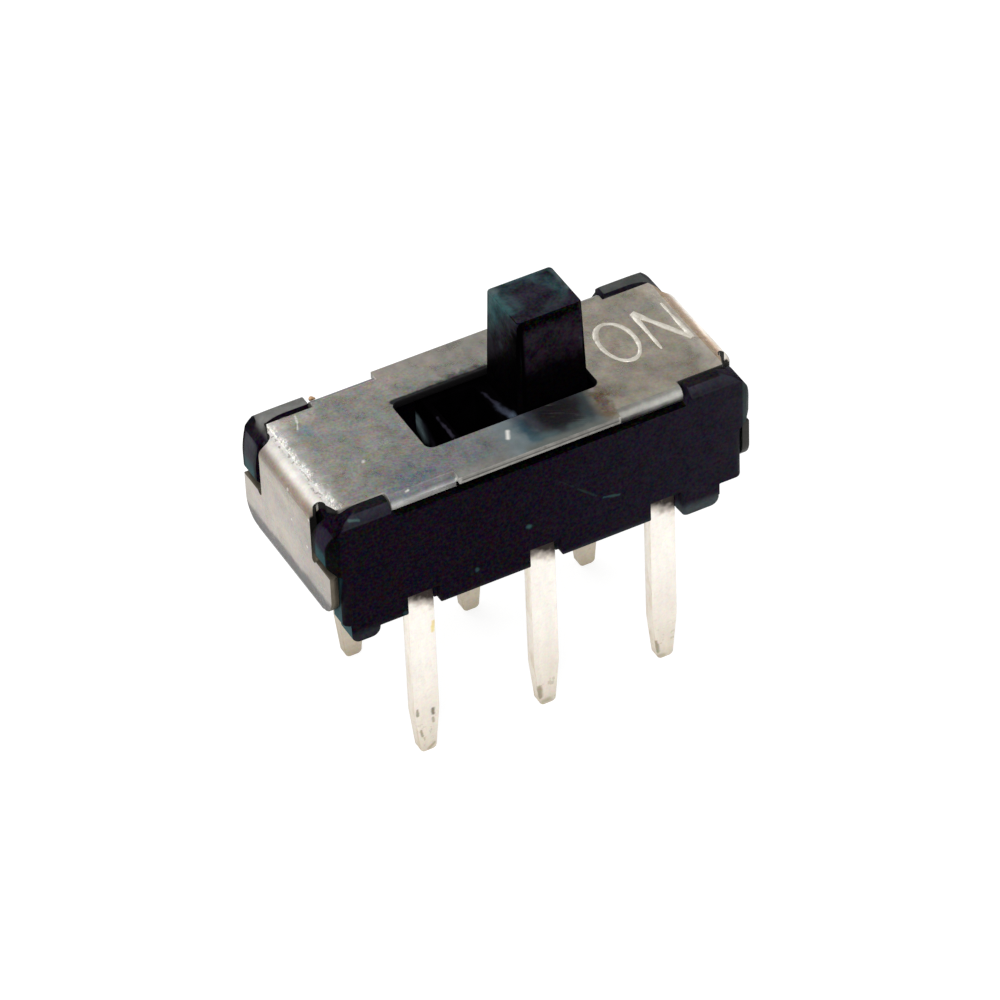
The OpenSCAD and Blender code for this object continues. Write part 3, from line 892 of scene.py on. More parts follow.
def plated_sheet(settings):
    """The cover's plated steel: satin and mottled, with painted highlights and reflections on its bends."""
    material, sheet, shader = new_finish("plated_sheet", 1.0)
    place = sheet.place()
    x, _, z = sheet.axes(place)
    side = sheet.size(x)
    on_right = sheet.above(x, 0.0)
    wave = sheet.wave(place, 3500.0, 4.0, 0.6)

    colour = plate_colour(sheet, place, tuple(settings.metal))
    # The knob's painted reflection on the plate in front of it.
    knob_reflection, knob_reflection_colour = painted_knob_reflection(sheet, place)
    colour = sheet.mix(knob_reflection, colour, knob_reflection_colour)
    # The punch rolled the far edge of the window down, and a painted shade darkens that edge.
    edge_start = (-1.70, 0.745, PLATE_LEVEL)
    edge_end = (0.30, 0.745, PLATE_LEVEL)
    painted_edge_shade = sheet.mark(place, edge_start, edge_end, 0.065, 0.4, 0.04)
    colour = sheet.mix(sheet.times(painted_edge_shade, 0.95), colour, (0.02, 0.019, 0.02))
    # Towards each bend a painted highlight lightens it, where it starts to bow.
    drift = sheet.plus(side, sheet.times(wave, 0.35 * MM))
    bend_start_highlight = sheet.mix(on_right, (0.90, 0.87, 0.82), (0.88, 0.80, 0.71))
    colour = sheet.mix(sheet.ease(drift, 3.55 * MM, 4.10 * MM, 0.0, 0.90), colour, bend_start_highlight)
    on_bend = sheet.ease(side, BEND_START, BEND_START + 0.015 * MM)
    # Painted highlight and painted reflection round each bend.
    share, bend = painted_bend_light(sheet, place, wave)
    colour = sheet.mix(on_bend, colour, bend)
    wall = sheet.times(on_bend, sheet.below(z, BEND_LOW))
    colour = sheet.mix(wall, colour, wall_colour_and_shade(sheet, place, wave))
    # Painted highlight and shade on the side lips.
    lip, lip_light = painted_lip_light(sheet, place, wave)
    colour = sheet.mix(lip, colour, lip_light)

    clouds = sheet.mottle(place, 2600.0, 1.6)
    colour = plating_bloom(sheet, place, colour, clouds, sheet.larger(knob_reflection, painted_edge_shade))
    bright = (0.95, 0.93, 0.88)
    flecks = sheet.specks(place, 4200.0, 0.15, 0.05)
    colour = sheet.mix(sheet.times(flecks, 0.45), colour, bright)
    colour = sheet.paint(colour, place, on_face(PLATE_NICKS, 2, PLATE_LEVEL), 0.95, 0.03)
    pits = crown_pits(sheet, place)
    colour = sheet.mix(sheet.times(pits, 0.75), colour, (0.30, 0.26, 0.22))
    scratches = sheet.scratches(place, (500.0, 9000.0, 9000.0), 0.5, 0.010)
    colour = sheet.mix(sheet.times(scratches, 0.10), colour, bright)
    sheet.feed(shader["Base Color"], colour)

    # Where the bend's and the lips' light and the knob's reflection are painted, it is chalky rather than
    # mirror-like.
    on_left = sheet.minus(1.0, on_right)
    painted_light_mask = sheet.all_of(on_bend, on_left, sheet.ease(share, 0.04, 0.16))
    painted_light_mask = sheet.larger(sheet.larger(painted_light_mask, lip), knob_reflection)
    sheet.feed(shader["Metallic"], sheet.minus(1.0, sheet.times(painted_light_mask, 0.82)))
    rough = sheet.plus(sheet.times(clouds["Tone"], 0.16), 0.22)
    rough = sheet.minus(rough, sheet.times(scratches, 0.08))
    rough = sheet.plus(rough, sheet.times(painted_light_mask, 0.25))
    sheet.feed(shader["Roughness"], rough)
    grain = sheet.grain(place, 26000.0)
    relief = sheet.plus(sheet.times(clouds["Tone"], 2.0), sheet.times(grain["Height"], 0.6))
    relief = sheet.minus(relief, sheet.times(pits, 2.0))
    relief = sheet.minus(relief, sheet.times(scratches, 0.2))
    # The sheet starts to bow down a little before each bend.
    bowed = sheet.bump(sheet.ease(drift, 3.80 * MM, 4.14 * MM, 0.020 * MM, 0.0), 1.0)
    sheet.feed(shader["Normal"], sheet.bump(relief, 0.0012 * MM, bowed))
    return material


def cut_shading(sheet, place):
    """Factors on the cut edges' colour: painted light and shade, by how each edge lies."""
    x, y, z = sheet.axes(place)
    side = sheet.size(x)
    # A painted highlight on the lower part of the cut, under a thin painted shadow line.
    level = sheet.ease(z, 2.76 * MM, 2.785 * MM, 2.10, 0.70)
    level = sheet.plus(level, sheet.ease(z, 2.795 * MM, 2.815 * MM, 0.0, 0.65))
    shading = sheet.mix(sheet.above(z, 2.7 * MM), WHITE, level)
    # A painted highlight on the cut faces at the step where each side lip ends.
    step = sheet.all_of(
        sheet.ease(side, 1.58 * MM, 1.62 * MM),
        sheet.ease(side, 1.68 * MM, 1.72 * MM, 1.0, 0.0),
        sheet.above(sheet.size(y), 1.4 * MM),
    )
    shading = sheet.mix(step, shading, grey(2.2))
    # At the ears a painted light makes it pale on the left, and a painted shade nearly black on the right.
    dark = grey(0.25)
    shading = sheet.mix(sheet.ease(x, -3.02 * MM, -2.96 * MM, 1.0, 0.0), shading, (1.8, 1.75, 1.7))
    shading = sheet.mix(sheet.ease(x, 2.96 * MM, 3.02 * MM), shading, dark)
    # Painted shade darkens the right end wall's upright edges; the left end wall's are black above, in
    # painted shade, and pale below, in painted light.
    left_end = sheet.mix(sheet.ease(z, 1.5 * MM, 2.0 * MM), (0.70, 0.62, 0.50), grey(0.08))
    end_edge = sheet.mix(sheet.below(x, 0.0), dark, left_end)
    return sheet.mix(sheet.ease(side, 3.85 * MM, 3.95 * MM), shading, end_edge)


def sheared_metal(settings):
    """The cut edges of the cover: torn, dull, and darker than the plate."""
    material, sheet, shader = new_finish("sheared_metal", 0.3, Specular_IOR_Level=0.08)
    place = sheet.place()
    x, y, _ = sheet.axes(place)
    edge = tuple(settings.sheared)
    clouds = sheet.mottle(place, 5000.0, 1.8)
    colour = sheet.mix(clouds["Tone"], scaled(edge, 0.60), scaled(edge, 1.35))
    torn = sheet.grain(place, 15000.0)
    colour = sheet.mix(sheet.times(torn["Pits"], 0.5), colour, (0.09, 0.08, 0.06))
    colour = sheet.shade(colour, cut_shading(sheet, place))
    # Inside the window the cut is near black, a painted shade.
    inside = sheet.all_of(
        sheet.ease(sheet.size(x), 1.78 * MM, 1.82 * MM, 1.0, 0.0),
        sheet.ease(sheet.size(y), 0.75 * MM, 0.79 * MM, 1.0, 0.0),
    )
    colour = sheet.mix(inside, colour, (0.012, 0.011, 0.012))
    sheet.feed(shader["Base Color"], colour)
    sheet.feed(shader["Roughness"], sheet.ease(clouds["Tone"], 0.2, 0.8, 0.34, 0.55))
    sheet.feed(shader["Normal"], sheet.bump(torn["Height"], 0.004 * MM))
    return material


def stamped_word_metal():
    """The strokes of the stamped word, where the sheet shines bare."""
    material, sheet, shader = new_finish("stamped_strokes", 0.45)
    place = sheet.place()
    clouds = sheet.mottle(place, 7000.0, 2.2)
    colour = sheet.mix(clouds["Tone"], (0.60, 0.55, 0.46), (0.98, 0.94, 0.85))
    sheet.feed(shader["Base Color"], colour)
    sheet.feed(shader["Roughness"], sheet.ease(clouds["Tone"], 0.2, 0.8, 0.5, 0.35))
    torn = sheet.grain(place, 30000.0)
    sheet.feed(shader["Normal"], sheet.bump(torn["Height"], 0.002 * MM))
    return material


def burr_metal():
    """A rusted sliver that the shear left on one corner."""
    material, sheet, shader = new_finish("rusted_burr", 0.6)
    clouds = sheet.mottle(sheet.place(), 9000.0, 2.0)
    colour = sheet.mix(clouds["Tone"], (0.42, 0.20, 0.08), (0.95, 0.72, 0.48))
    sheet.feed(shader["Base Color"], colour)
    sheet.feed(shader["Roughness"], sheet.ease(clouds["Tone"], 0.0, 1.0, 0.45, 0.7))
    sheet.feed(shader["Normal"], sheet.bump(clouds["Tone"], 0.004 * MM))
    return material


def painted_end_face_light(sheet, place, plastic):
    """Painted light on the housing's end faces, teal below and lilac on the ears, and painted shade, black,
    beside the cover.
    """
    _, y, z = sheet.axes(place)
    pale_teal = shifted(plastic, (0.060, 0.145, 0.155))
    teal = shifted(plastic, (0.026, 0.090, 0.095))
    lilac = shifted(plastic, (0.020, 0.018, 0.030))
    colour = sheet.mix(sheet.ease(z, 0.9 * MM, 1.4 * MM), pale_teal, teal)
    colour = sheet.mix(sheet.ease(z, 2.00 * MM, 2.25 * MM), colour, lilac)
    return sheet.mix(sheet.ease(sheet.size(y), 1.16 * MM, 1.26 * MM, 1.0, 0.0), colour, BLACK)


def ear_colour(sheet, place, colour, plastic):
    """The ears: painted shade and teal light on upright bevels, painted sheen on long bevels and far tops,
    painted shade on flat tops.
    """
    x, y, z = sheet.axes(place)
    side = sheet.size(x)
    across = sheet.size(y)
    face_z = sheet.facing()[2]
    on_right = sheet.above(x, 0.0)
    # Painted shade on the left ears' upright bevels, and painted teal light on the right ones.
    bevel = sheet.ease(sheet.plus(side, across), 5.88 * MM, 5.94 * MM)
    upright = sheet.ease(sheet.size(face_z), 0.60, 0.80, 1.0, 0.0)
    corner = sheet.mix(on_right, BLACK, (0.048, 0.064, 0.064))
    colour = sheet.mix(sheet.times(bevel, upright), colour, corner)
    # Painted sheen on the long bevels.
    ledge = sheet.ease(sheet.plus(across, z), 4.50 * MM, 4.55 * MM)
    on_ear = sheet.above(side, 3.0 * MM)
    sheen = shifted(plastic, (0.024, 0.026, 0.033))
    colour = sheet.mix(sheet.times(ledge, on_ear), colour, sheen)
    # Painted shade on the flat tops.
    top = sheet.ease(z, 2.895 * MM, 2.912 * MM)
    colour = sheet.mix(top, colour, (0.0125, 0.0110, 0.0135))
    # Painted sheen on the tops of the far ears.
    far_top_sheen = sheet.mix(on_right, (0.20, 0.20, 0.19), (0.078, 0.083, 0.080))
    far_top = sheet.all_of(
        sheet.above(y, 0.0),
        sheet.ease(z, 2.62 * MM, 2.78 * MM),
        sheet.ease(face_z, 0.35, 0.6),
        sheet.ease(side, 3.98 * MM, 4.10 * MM, 1.0, 0.1),
    )
    return sheet.mix(far_top, colour, far_top_sheen)


def housing_plastic(settings):
    """The housing's moulded plastic: nearly black, matt, with a fine spark-eroded grain."""
    material, sheet, shader = new_finish("housing_plastic", 0.0, Specular_IOR_Level=0.015)
    place = sheet.place()
    x, y, z = sheet.axes(place)
    side = sheet.size(x)
    face_x, _, face_z = sheet.facing()
    plastic = tuple(settings.plastic)

    # The face is a little paler towards the right, and the feet carry a painted teal light.
    paler = shifted(plastic, (0.0085, 0.0090, 0.0130))
    colour = sheet.mix(sheet.ease(x, -1.5 * MM, 3.8 * MM), plastic, paler)
    colour = sheet.mix(sheet.ease(x, 3.3 * MM, 4.0 * MM, 0.0, 0.6), colour, (0.024, 0.021, 0.030))
    feet = sheet.ease(z, 0.12 * MM, 0.34 * MM, 0.60, 0.0)
    toward_right = sheet.ease(x, -2.5 * MM, 3.2 * MM)
    painted_foot_light = sheet.mix(toward_right, (0.040, 0.047, 0.054), (0.115, 0.145, 0.150))
    colour = sheet.mix(feet, colour, painted_foot_light)
    # Painted teal and lilac light on the end faces, with painted shade beside the cover.
    end_on = sheet.ease(sheet.size(face_x), 0.80, 0.92)
    end_on = sheet.times(end_on, sheet.ease(side, 3.85 * MM, 3.95 * MM))
    colour = sheet.mix(end_on, colour, painted_end_face_light(sheet, place, plastic))
    # A painted sheen lightens the far end faces towards the top.
    far_end_sheen = sheet.ease(z, 1.7 * MM, 2.5 * MM, 0.10, 0.28)
    far_end_sheen = sheet.all_of(end_on, sheet.above(y, 0.0), far_end_sheen)
    colour = sheet.mix(far_end_sheen, colour, (0.16, 0.175, 0.175))
    colour = ear_colour(sheet, place, colour, plastic)
    # Painted shade keeps the walls' tops, under the cover's edges, black.
    wall_top = sheet.all_of(
        sheet.ease(z, 2.56 * MM, 2.59 * MM),
        sheet.ease(face_z, 0.80, 0.95),
        sheet.below(side, 3.05 * MM),
    )
    colour = sheet.mix(wall_top, colour, BLACK)

    dust = sheet.specks(place, 1700.0, 0.05, 0.04)
    colour = sheet.mix(sheet.times(dust, 0.6), colour, DUSTY)
    colour = sheet.paint(colour, place, on_face(HOUSING_MARKS, 1, HOUSING_FRONT), 0.7, 0.05)
    fluff = ((-3.85, -1.72, 2.85), (-3.70, -1.76, 2.81), 0.028, (0.07, 0.14, 0.13), 0.8)
    colour = sheet.paint(colour, place, [fluff], 0.7, 0.08)

    # The moulding's grain, with a little colour in it.
    clouds = sheet.mottle(place, 3500.0, 1.6)
    colour = sheet.shade(colour, sheet.ease(clouds["Tone"], 0.0, 1.0, 0.70, 1.30))
    colour = sheet.tint(0.028, colour, sheet.mottle(place, 10000.0, 1.0)["Tint"])
    sheet.feed(shader["Base Color"], colour)
    sheet.feed(shader["Roughness"], sheet.ease(clouds["Tone"], 0.1, 0.9, 0.42, 0.62))
    grain = sheet.grain(place, 24000.0)
    relief = sheet.plus(grain["Height"], sheet.times(clouds["Tone"], 0.8))
    sheet.feed(shader["Normal"], sheet.bump(relief, 0.0035 * MM))
    return material


def painted_knob_front_light(sheet, height, plastic):
    """Painted light on the knob's front, which fades to black, in painted shade, towards the window and
    under its top edge.
    """
    stops = [(position, shifted(plastic, more)) for position, more in KNOB_FRONT_LIGHT]
    return sheet.bands(sheet.over(height, KNOB_SPAN), stops)


def painted_knob_side_light(sheet, place, height, plastic):
    """Painted light on the knob's sides, less and less towards their lower front corner."""
    y = sheet.axes(place)[1]
    slanted = sheet.plus(height, sheet.minus(y, 0.5 * MM))
    stops = [(position, shifted(plastic, more)) for position, more in KNOB_SIDE_LIGHT]
    return sheet.bands(sheet.over(slanted, KNOB_SPAN), stops)


def slider_plastic(settings):
    """The knob's plastic: a smoother black, with painted greenish sheen, painted light and painted shade."""
    material, sheet, shader = new_finish("slider_plastic", 0.0, Specular_IOR_Level=0.003)
    place = sheet.place()
    x, y, z = sheet.axes(place)
    face_x, face_y, face_z = sheet.facing()
    plastic = tuple(settings.plastic)
    clouds = sheet.mottle(place, 2600.0, 2.0)
    wave = sheet.minus(clouds["Tone"], 0.5)
    height = sheet.plus(z, sheet.times(wave, 0.30 * MM))
    knob = sheet.above(z, 2.9 * MM)
    front = sheet.ease(face_y, -0.90, -0.60, 1.0, 0.0)
    sides = sheet.minus(1.0, front)
    sides = sheet.times(sides, sheet.ease(face_z, 0.45, 0.75, 1.0, 0.0))

    # Painted light and shade on the knob's front and sides.
    colour = sheet.mix(front, plastic, painted_knob_front_light(sheet, height, plastic))
    # The sides' front strip, which painted shade keeps dark.
    toward_front = sheet.plus(y, sheet.times(wave, 0.20 * MM))
    dark_strip = sheet.all_of(
        sheet.ease(toward_front, -0.44 * MM, -0.27 * MM, 1.0, 0.0),
        sheet.ease(z, 4.45 * MM, 4.62 * MM, 1.0, 0.0),
    )
    side_colour = painted_knob_side_light(sheet, place, height, plastic)
    side_colour = sheet.mix(dark_strip, side_colour, plastic)
    colour = sheet.mix(sheet.times(sides, knob), colour, side_colour)
    # Painted highlights make the front's right edge and the top paler.
    front_right = sheet.all_of(
        front,
        sheet.ease(x, 1.40 * MM, 1.48 * MM),
        sheet.ease(height, 3.5 * MM, 4.1 * MM),
    )
    colour = sheet.mix(front_right, colour, shifted(plastic, (0.0200, 0.0175, 0.0250)))
    top = sheet.times(sheet.ease(z, 4.6 * MM, 4.7 * MM), sheet.ease(face_z, 0.80, 0.95))
    colour = sheet.mix(top, colour, shifted(plastic, (0.0205, 0.0195, 0.0285)))
    colour = sheet.paint(colour, place, SLIDER_SHEEN, 0.9, 0.12)

    lint = sheet.specks(place, 4200.0, 0.10, 0.10)
    lint = sheet.all_of(lint, knob, sheet.ease(z, 3.7 * MM, 4.2 * MM, 0.0, 0.35))
    colour = sheet.mix(lint, colour, (0.05, 0.08, 0.09))
    colour = sheet.shade(colour, sheet.ease(clouds["Tone"], 0.0, 1.0, 0.45, 1.55))
    tinted = sheet.times(knob, sheet.ease(z, 3.4 * MM, 4.3 * MM, 0.004, 0.034))
    colour = sheet.tint(tinted, colour, sheet.mottle(place, 10000.0, 1.0)["Tint"])
    # Painted shade keeps the front's left end, the upright corner beside it and the sides' front strip
    # black.
    front_left = sheet.all_of(front, knob, sheet.ease(x, 0.28 * MM, 0.36 * MM, 1.0, 0.0))
    corner = sheet.all_of(
        knob,
        sheet.ease(face_x, -0.95, -0.80),
        sheet.ease(face_x, -0.35, -0.12, 1.0, 0.0),
        sheet.ease(z, 4.70 * MM, 4.76 * MM, 1.0, 0.0),
    )
    unlit = sheet.larger(front_left, corner)
    unlit = sheet.larger(unlit, sheet.all_of(dark_strip, sides, knob))
    colour = sheet.mix(unlit, colour, scaled(plastic, 0.5))
    sheet.feed(shader["Base Color"], colour)
    sheet.feed(shader["Roughness"], sheet.ease(clouds["Tone"], 0.1, 0.9, 0.36, 0.60))
    relief = sheet.plus(sheet.grain(place, 20000.0)["Height"], clouds["Tone"])
    sheet.feed(shader["Normal"], sheet.bump(relief, 0.004 * MM))
    return material


def under_housing_shadow(sheet, place):
    """Height on a terminal for its painted shadow under the housing, which reaches lower on each leg's
    right.
    """
    x, _, z = sheet.axes(place)
    pitch = sheet.over(x, TERMINAL_PITCH)
    from_middle = sheet.minus(sheet.math("FRACT", sheet.plus(pitch, 0.5)), 0.5)
    height = sheet.plus(z, sheet.times(sheet.wave(place, 5000.0), 0.30 * MM))
    return sheet.plus(height, sheet.times(from_middle, 1.1 * MM))


def tin_plating(settings):
    """The terminals' tin: pale, streaked along the leg, with a painted shadow at the housing, pitted at the
    tip.
    """
    material, sheet, shader = new_finish("tin_plating", 1.0)
    place = sheet.place()
    _, y, z = sheet.axes(place)
    face_x = sheet.facing()[0]
    tin = tuple(settings.plating)
    streaks = sheet.mottle(sheet.vector("MULTIPLY", place, (1.0, 1.0, 0.22)), 7000.0, 1.3)
    clouds = sheet.mottle(place, 2200.0, 1.4)
    colour = sheet.mix(streaks["Tone"], scaled(tin, 0.92), scaled(tin, 1.12))
    # The left sides are tan, in streaks, and the rear row is duller than the front one.
    tan = sheet.ease(streaks["Tone"], 0.35, 0.75, 0.15, 0.75)
    tan = sheet.times(tan, sheet.ease(face_x, -0.85, -0.30, 1.0, 0.0))
    colour = sheet.mix(tan, colour, (0.62, 0.54, 0.42))
    colour = sheet.shade(colour, sheet.mix(sheet.above(y, 0.0), WHITE, (0.68, 0.66, 0.61)))
    # The legs are duller and warmer towards their tips.
    colour = sheet.shade(colour, sheet.bands(sheet.over(z, -LEG_LENGTH), LEG_TONES))
    height = under_housing_shadow(sheet, place)
    # A painted shadow under the housing, with a warm brown fringe.
    shadow_fringe = sheet.ease(height, 0.02 * MM, 0.20 * MM, 0.0, 0.50)
    colour = sheet.mix(shadow_fringe, colour, (0.42, 0.33, 0.27))
    in_shadow = sheet.ease(height, 0.10 * MM, 0.38 * MM, 0.0, 0.98)
    colour = sheet.mix(in_shadow, colour, (0.018, 0.012, 0.010))
    grimy = sheet.noise(place, 9000.0, 3.0, 0.6).outputs["Fac"]
    toward_tip = sheet.ease(z, -3.4 * MM, -2.4 * MM, 0.75, 0.08)
    grime = sheet.times(sheet.ease(grimy, 0.56, 0.66), toward_tip)
    colour = sheet.mix(grime, colour, (0.42, 0.37, 0.28))
    colour = sheet.paint(colour, place, on_face(PIN_MARKS, 1, TERMINAL_FRONT), 0.7, 0.08)
    tinted = sheet.ease(in_shadow, 0.0, 0.6, 0.10, 0.01)
    colour = sheet.tint(tinted, colour, sheet.mottle(place, 11000.0, 1.0)["Tint"])
    sheet.feed(shader["Base Color"], colour)
    sheet.feed(shader["Roughness"], sheet.ease(clouds["Tone"], 0.1, 0.9, 0.30, 0.48))
    relief = sheet.minus(streaks["Tone"], grime)
    sheet.feed(shader["Normal"], sheet.bump(relief, 0.003 * MM))
    return material


def silvered_clip(settings):
    """The contact clips' silvered spring metal, wiped bright where it slides."""
    material, sheet, shader = new_finish("silvered_clip", 1.0)
    place = sheet.place()
    metal = tuple(settings.clip)
    clouds = sheet.mottle(place, 3000.0, 1.6)
    colour = sheet.mix(clouds["Tone"], scaled(metal, 0.6), metal)
    wiped = sheet.scratches(place, (300.0, 8000.0, 12000.0), 0.0, 0.03)
    colour = sheet.mix(sheet.times(wiped, 0.6), colour, (0.95, 0.93, 0.88))
    sheet.feed(shader["Base Color"], colour)
    sheet.feed(shader["Roughness"], sheet.ease(clouds["Tone"], 0.1, 0.9, 0.25, 0.45))
    sheet.feed(shader["Normal"], sheet.bump(sheet.plus(clouds["Tone"], wiped), 0.002 * MM))
    return material


# ---------------------------------------------------------------- shapes


def whole_faces(node):
    """A CAD node's shape with the mesher's triangles joined into whole faces."""
    shape = bmesh.new()
    shape.from_mesh(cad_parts[node].data)
    bmesh.ops.remove_doubles(shape, verts=shape.verts, dist=WELD)
    bmesh.ops.dissolve_limit(shape, angle_limit=FLAT, verts=shape.verts, edges=shape.edges)
    return shape


def clean_mesh(name, shape, room=None):
    """A new mesh from a bmesh, smooth and without the import's own normals.

    room gives how much of the full rounding each edge can take, from edge_room."""
    shape.verts.index_update()
    corners = [v.co.copy() for v in shape.verts]
    faces = [[v.index for v in f.verts] for f in shape.faces]
    mesh = bpy.data.meshes.new(name)
    mesh.from_pydata(corners, [], faces)
    for polygon, face in zip(mesh.polygons, shape.faces):
        polygon.use_smooth = True
        polygon.material_index = face.material_index
    if room:
        shares = {frozenset(v.index for v in edge.verts): room[edge] for edge in room}
        weights = mesh.attributes.new("bevel_weight_edge", "FLOAT", "EDGE")
        for edge, weight in zip(mesh.edges, weights.data):
            weight.value = shares.get(frozenset(edge.vertices), 0.0)
    shape.free()
    return mesh


def surface_beside(tree, edge, face, point, reach):
    """How far a surface goes on beside an edge before it turns or ends, as a share of reach."""
    along = (edge.verts[1].co - edge.verts[0].co).normalized()
    inward = face.normal.cross(along)
    loop = next(one for one in edge.link_loops if one.face == face)
    if loop.vert != edge.verts[0]:
        inward = -inward
    for step in range(1, PROBES + 1):
        share = step / PROBES
        _, normal, _, distance = tree.find_nearest(point + inward * reach * share)
        if distance > STRAYED * reach or normal.dot(face.normal) < SAME_WAY:
            return (step - 1) / PROBES
    return 1.0


def edge_room(shape, radius):
    """How much of a rounding's radius each real corner can take, 0 to 1, so that none runs into the next."""
    shape.normal_update()
    tree = BVHTree.FromBMesh(shape)
    room = {}
    reach = radius * ROOM_NEEDED
    for edge in shape.edges:
        if len(edge.link_faces) != 2 or edge.calc_face_angle() < CORNER:
            continue
        first, second = (v.co for v in edge.verts)
        spots = [first.lerp(second, share) for share in SPOTS]
        room[edge] = min(
            surface_beside(tree, edge, face, spot, reach)
            for face in edge.link_faces
            for spot in spots
        )
    level_chains(shape, room)
    return room


def level_chains(shape, room):
    """Gives corners that run on into each other the room of the tightest of them."""
    pairs = []
    for vertex in shape.verts:
        meeting = [edge for edge in vertex.link_edges if edge in room]
        for one, other in combinations(meeting, 2):
            away = (one.other_vert(vertex).co - vertex.co).normalized()
            back = (vertex.co - other.other_vert(vertex).co).normalized()
            if away.dot(back) > RUNS_ON:
                pairs.append((one, other))
    uneven = True
    while uneven:
        uneven = False
        for one, other in pairs:
            if room[one] != room[other]:
                room[one] = room[other] = min(room[one], room[other])
                uneven = True


def add_piece(name, data, body, materials, replaces=()):
    """Puts a finished piece on its body."""
    piece = bpy.data.objects.new(name, data)
    bpy.context.scene.collection.objects.link(piece)
    for material in materials:
        piece.data.materials.append(material)
    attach(piece, body)
    if replaces:
        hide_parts(*replaces)
    return piece


def round_edges(piece, radius, segments, finish=-1):
    """Rounds every real corner, and keeps the flat faces flat in the shading."""
    bevel = piece.modifiers.new("rounding", "BEVEL")
    bevel.width = radius
    bevel.segments = segments
    bevel.limit_method = "WEIGHT"
    bevel.use_clamp_overlap = False
    bevel.loop_slide = False
    bevel.material = finish
    shading = piece.modifiers.new("flat faces", "WEIGHTED_NORMAL")
    shading.mode = "FACE_AREA"
    shading.weight = 90
    shading.keep_sharp = True


def finish_node(node, name, body, finish, radius, segments):
    """Makes the finished piece of one CAD node, with all its corners rounded."""
    shape = whole_faces(node)
    mesh = clean_mesh(name, shape, edge_room(shape, radius))
    piece = add_piece(name, mesh, body, [finish], [node])
    round_edges(piece, radius, segments)


def mark_sheared_faces(shape, thickness, index):
    """Gives the cut edges of a folded sheet their own material: looking in from them, the metal goes on."""
    tree = BVHTree.FromBMesh(shape)
    for face in shape.faces:
        sheared = 0.0
        normal = face.normal
        corners = [v.co for v in face.verts]
        for second, third in zip(corners[1:], corners[2:]):
            centre = (corners[0] + second + third) / 3.0
            area = (second - corners[0]).cross(third - corners[0]).dot(normal)
            just_inside = centre - normal * 0.01 * thickness
            depth = tree.ray_cast(just_inside, -normal)[3]
            deep = depth is None or depth > CUT_DEPTH * thickness
            sheared += area if deep else -area
        if sheared > 0.0:
            face.material_index = index


# ---------------------------------------------------------------- operators


class SWITCH_OT_cover(bpy.types.Operator):
    """Make the folded metal cover, its stamped word and its burr"""

    bl_idname = "switch.cover"
    bl_label = "Cover"

    def execute(self, context):
        settings = context.scene.slide_switch.cover
        shape = whole_faces("cover")
        mark_sheared_faces(shape, SHEET, 1)
        mesh = clean_mesh("cover_sheet", shape, edge_room(shape, settings.rounding))
        finishes = [plated_sheet(settings), sheared_metal(settings)]
        cover = add_piece("cover_sheet", mesh, BODY, finishes, ["cover"])
        round_edges(cover, settings.rounding, 2, 1)
        stamp_word(settings)
        add_burr()
        return {"FINISHED"}


# The stamped word ON: the height, the middle of the O and the line that the word stands on, the step
# to the N, and half of each letter's width, in mm.
STAMP_HEIGHT = 1.15
STAMP_PLACE = (2.62, -0.42)
STAMP_STEP = 0.92
O_REACH = 0.34
N_REACH = 0.32
# Pressed flat, the round wire of each stroke becomes a low bead with its middle just under the plate.
STAMP_DEPTH = 0.002 * MM
STAMP_FLATNESS = 0.35


def letter_o(steps=28):
    """One closed oval stroke of uneven weight, as (x, y, share of the stroke's full width)."""
    uneven = random.Random(5)
    points = []
    for step in range(steps):
        turn = 2.0 * math.pi * (0.22 + 1.02 * step / (steps - 1))
        weight = 0.85 + 0.15 * math.sin(3.0 * turn) + uneven.uniform(-0.15, 0.25)
        points.append((O_REACH * math.cos(turn), 0.5 * STAMP_HEIGHT * math.sin(turn), weight))
    return [points]


def uneven_line(start, end, first, last, seed, steps=9):
    """A straight stroke whose weight goes from first to last, with some unevenness."""
    uneven = random.Random(seed)
    points = []
    for step in range(steps):
        share = step / (steps - 1)
        x = start[0] + (end[0] - start[0]) * share
        y = start[1] + (end[1] - start[1]) * share
        weight = first + (last - first) * share + uneven.uniform(-0.22, 0.30)
        points.append((x, y, max(0.25, weight)))
    return points


def letter_n():
    """Two uprights and a slope, each a separate stroke of the tool, and none quite straight."""
    half = 0.5 * STAMP_HEIGHT
    return [
        uneven_line((-N_REACH, -half), (-0.30, half), 0.5, 1.1, 1),
        uneven_line((-0.30, half), (N_REACH, -half), 1.3, 0.9, 2),
        uneven_line((N_REACH, -half), (0.31, half), 1.1, 0.5, 3),
    ]


def stamp_word(settings):
    """Lays the strokes of ON a few microns proud of the plate, beside the ON end of the travel."""
    curve = bpy.data.curves.new("stamped_word", "CURVE")
    curve.dimensions = "3D"
    curve.bevel_depth = settings.stroke
    curve.bevel_resolution = 2
    curve.use_fill_caps = True
    left, base = STAMP_PLACE
    for middle, strokes in ((left, letter_o()), (left + STAMP_STEP, letter_n())):
        for stroke in strokes:
            spline = curve.splines.new("NURBS")
            spline.points.add(len(stroke) - 1)
            spline.use_endpoint_u = True
            spline.order_u = 3
            for point, (x, y, weight) in zip(spline.points, stroke):
                place = ((middle + x) * MM, (base + 0.5 * STAMP_HEIGHT + y) * MM, 0.0)
                point.co = (*place, 1.0)
                point.radius = weight
    word = bpy.data.objects.new("stamped_word", curve)
    bpy.context.scene.collection.objects.link(word)
    word.location.z = COVER_TOP - STAMP_DEPTH
    word.scale.z = STAMP_FLATNESS
    curve.materials.append(stamped_word_metal())
    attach(word, BODY)


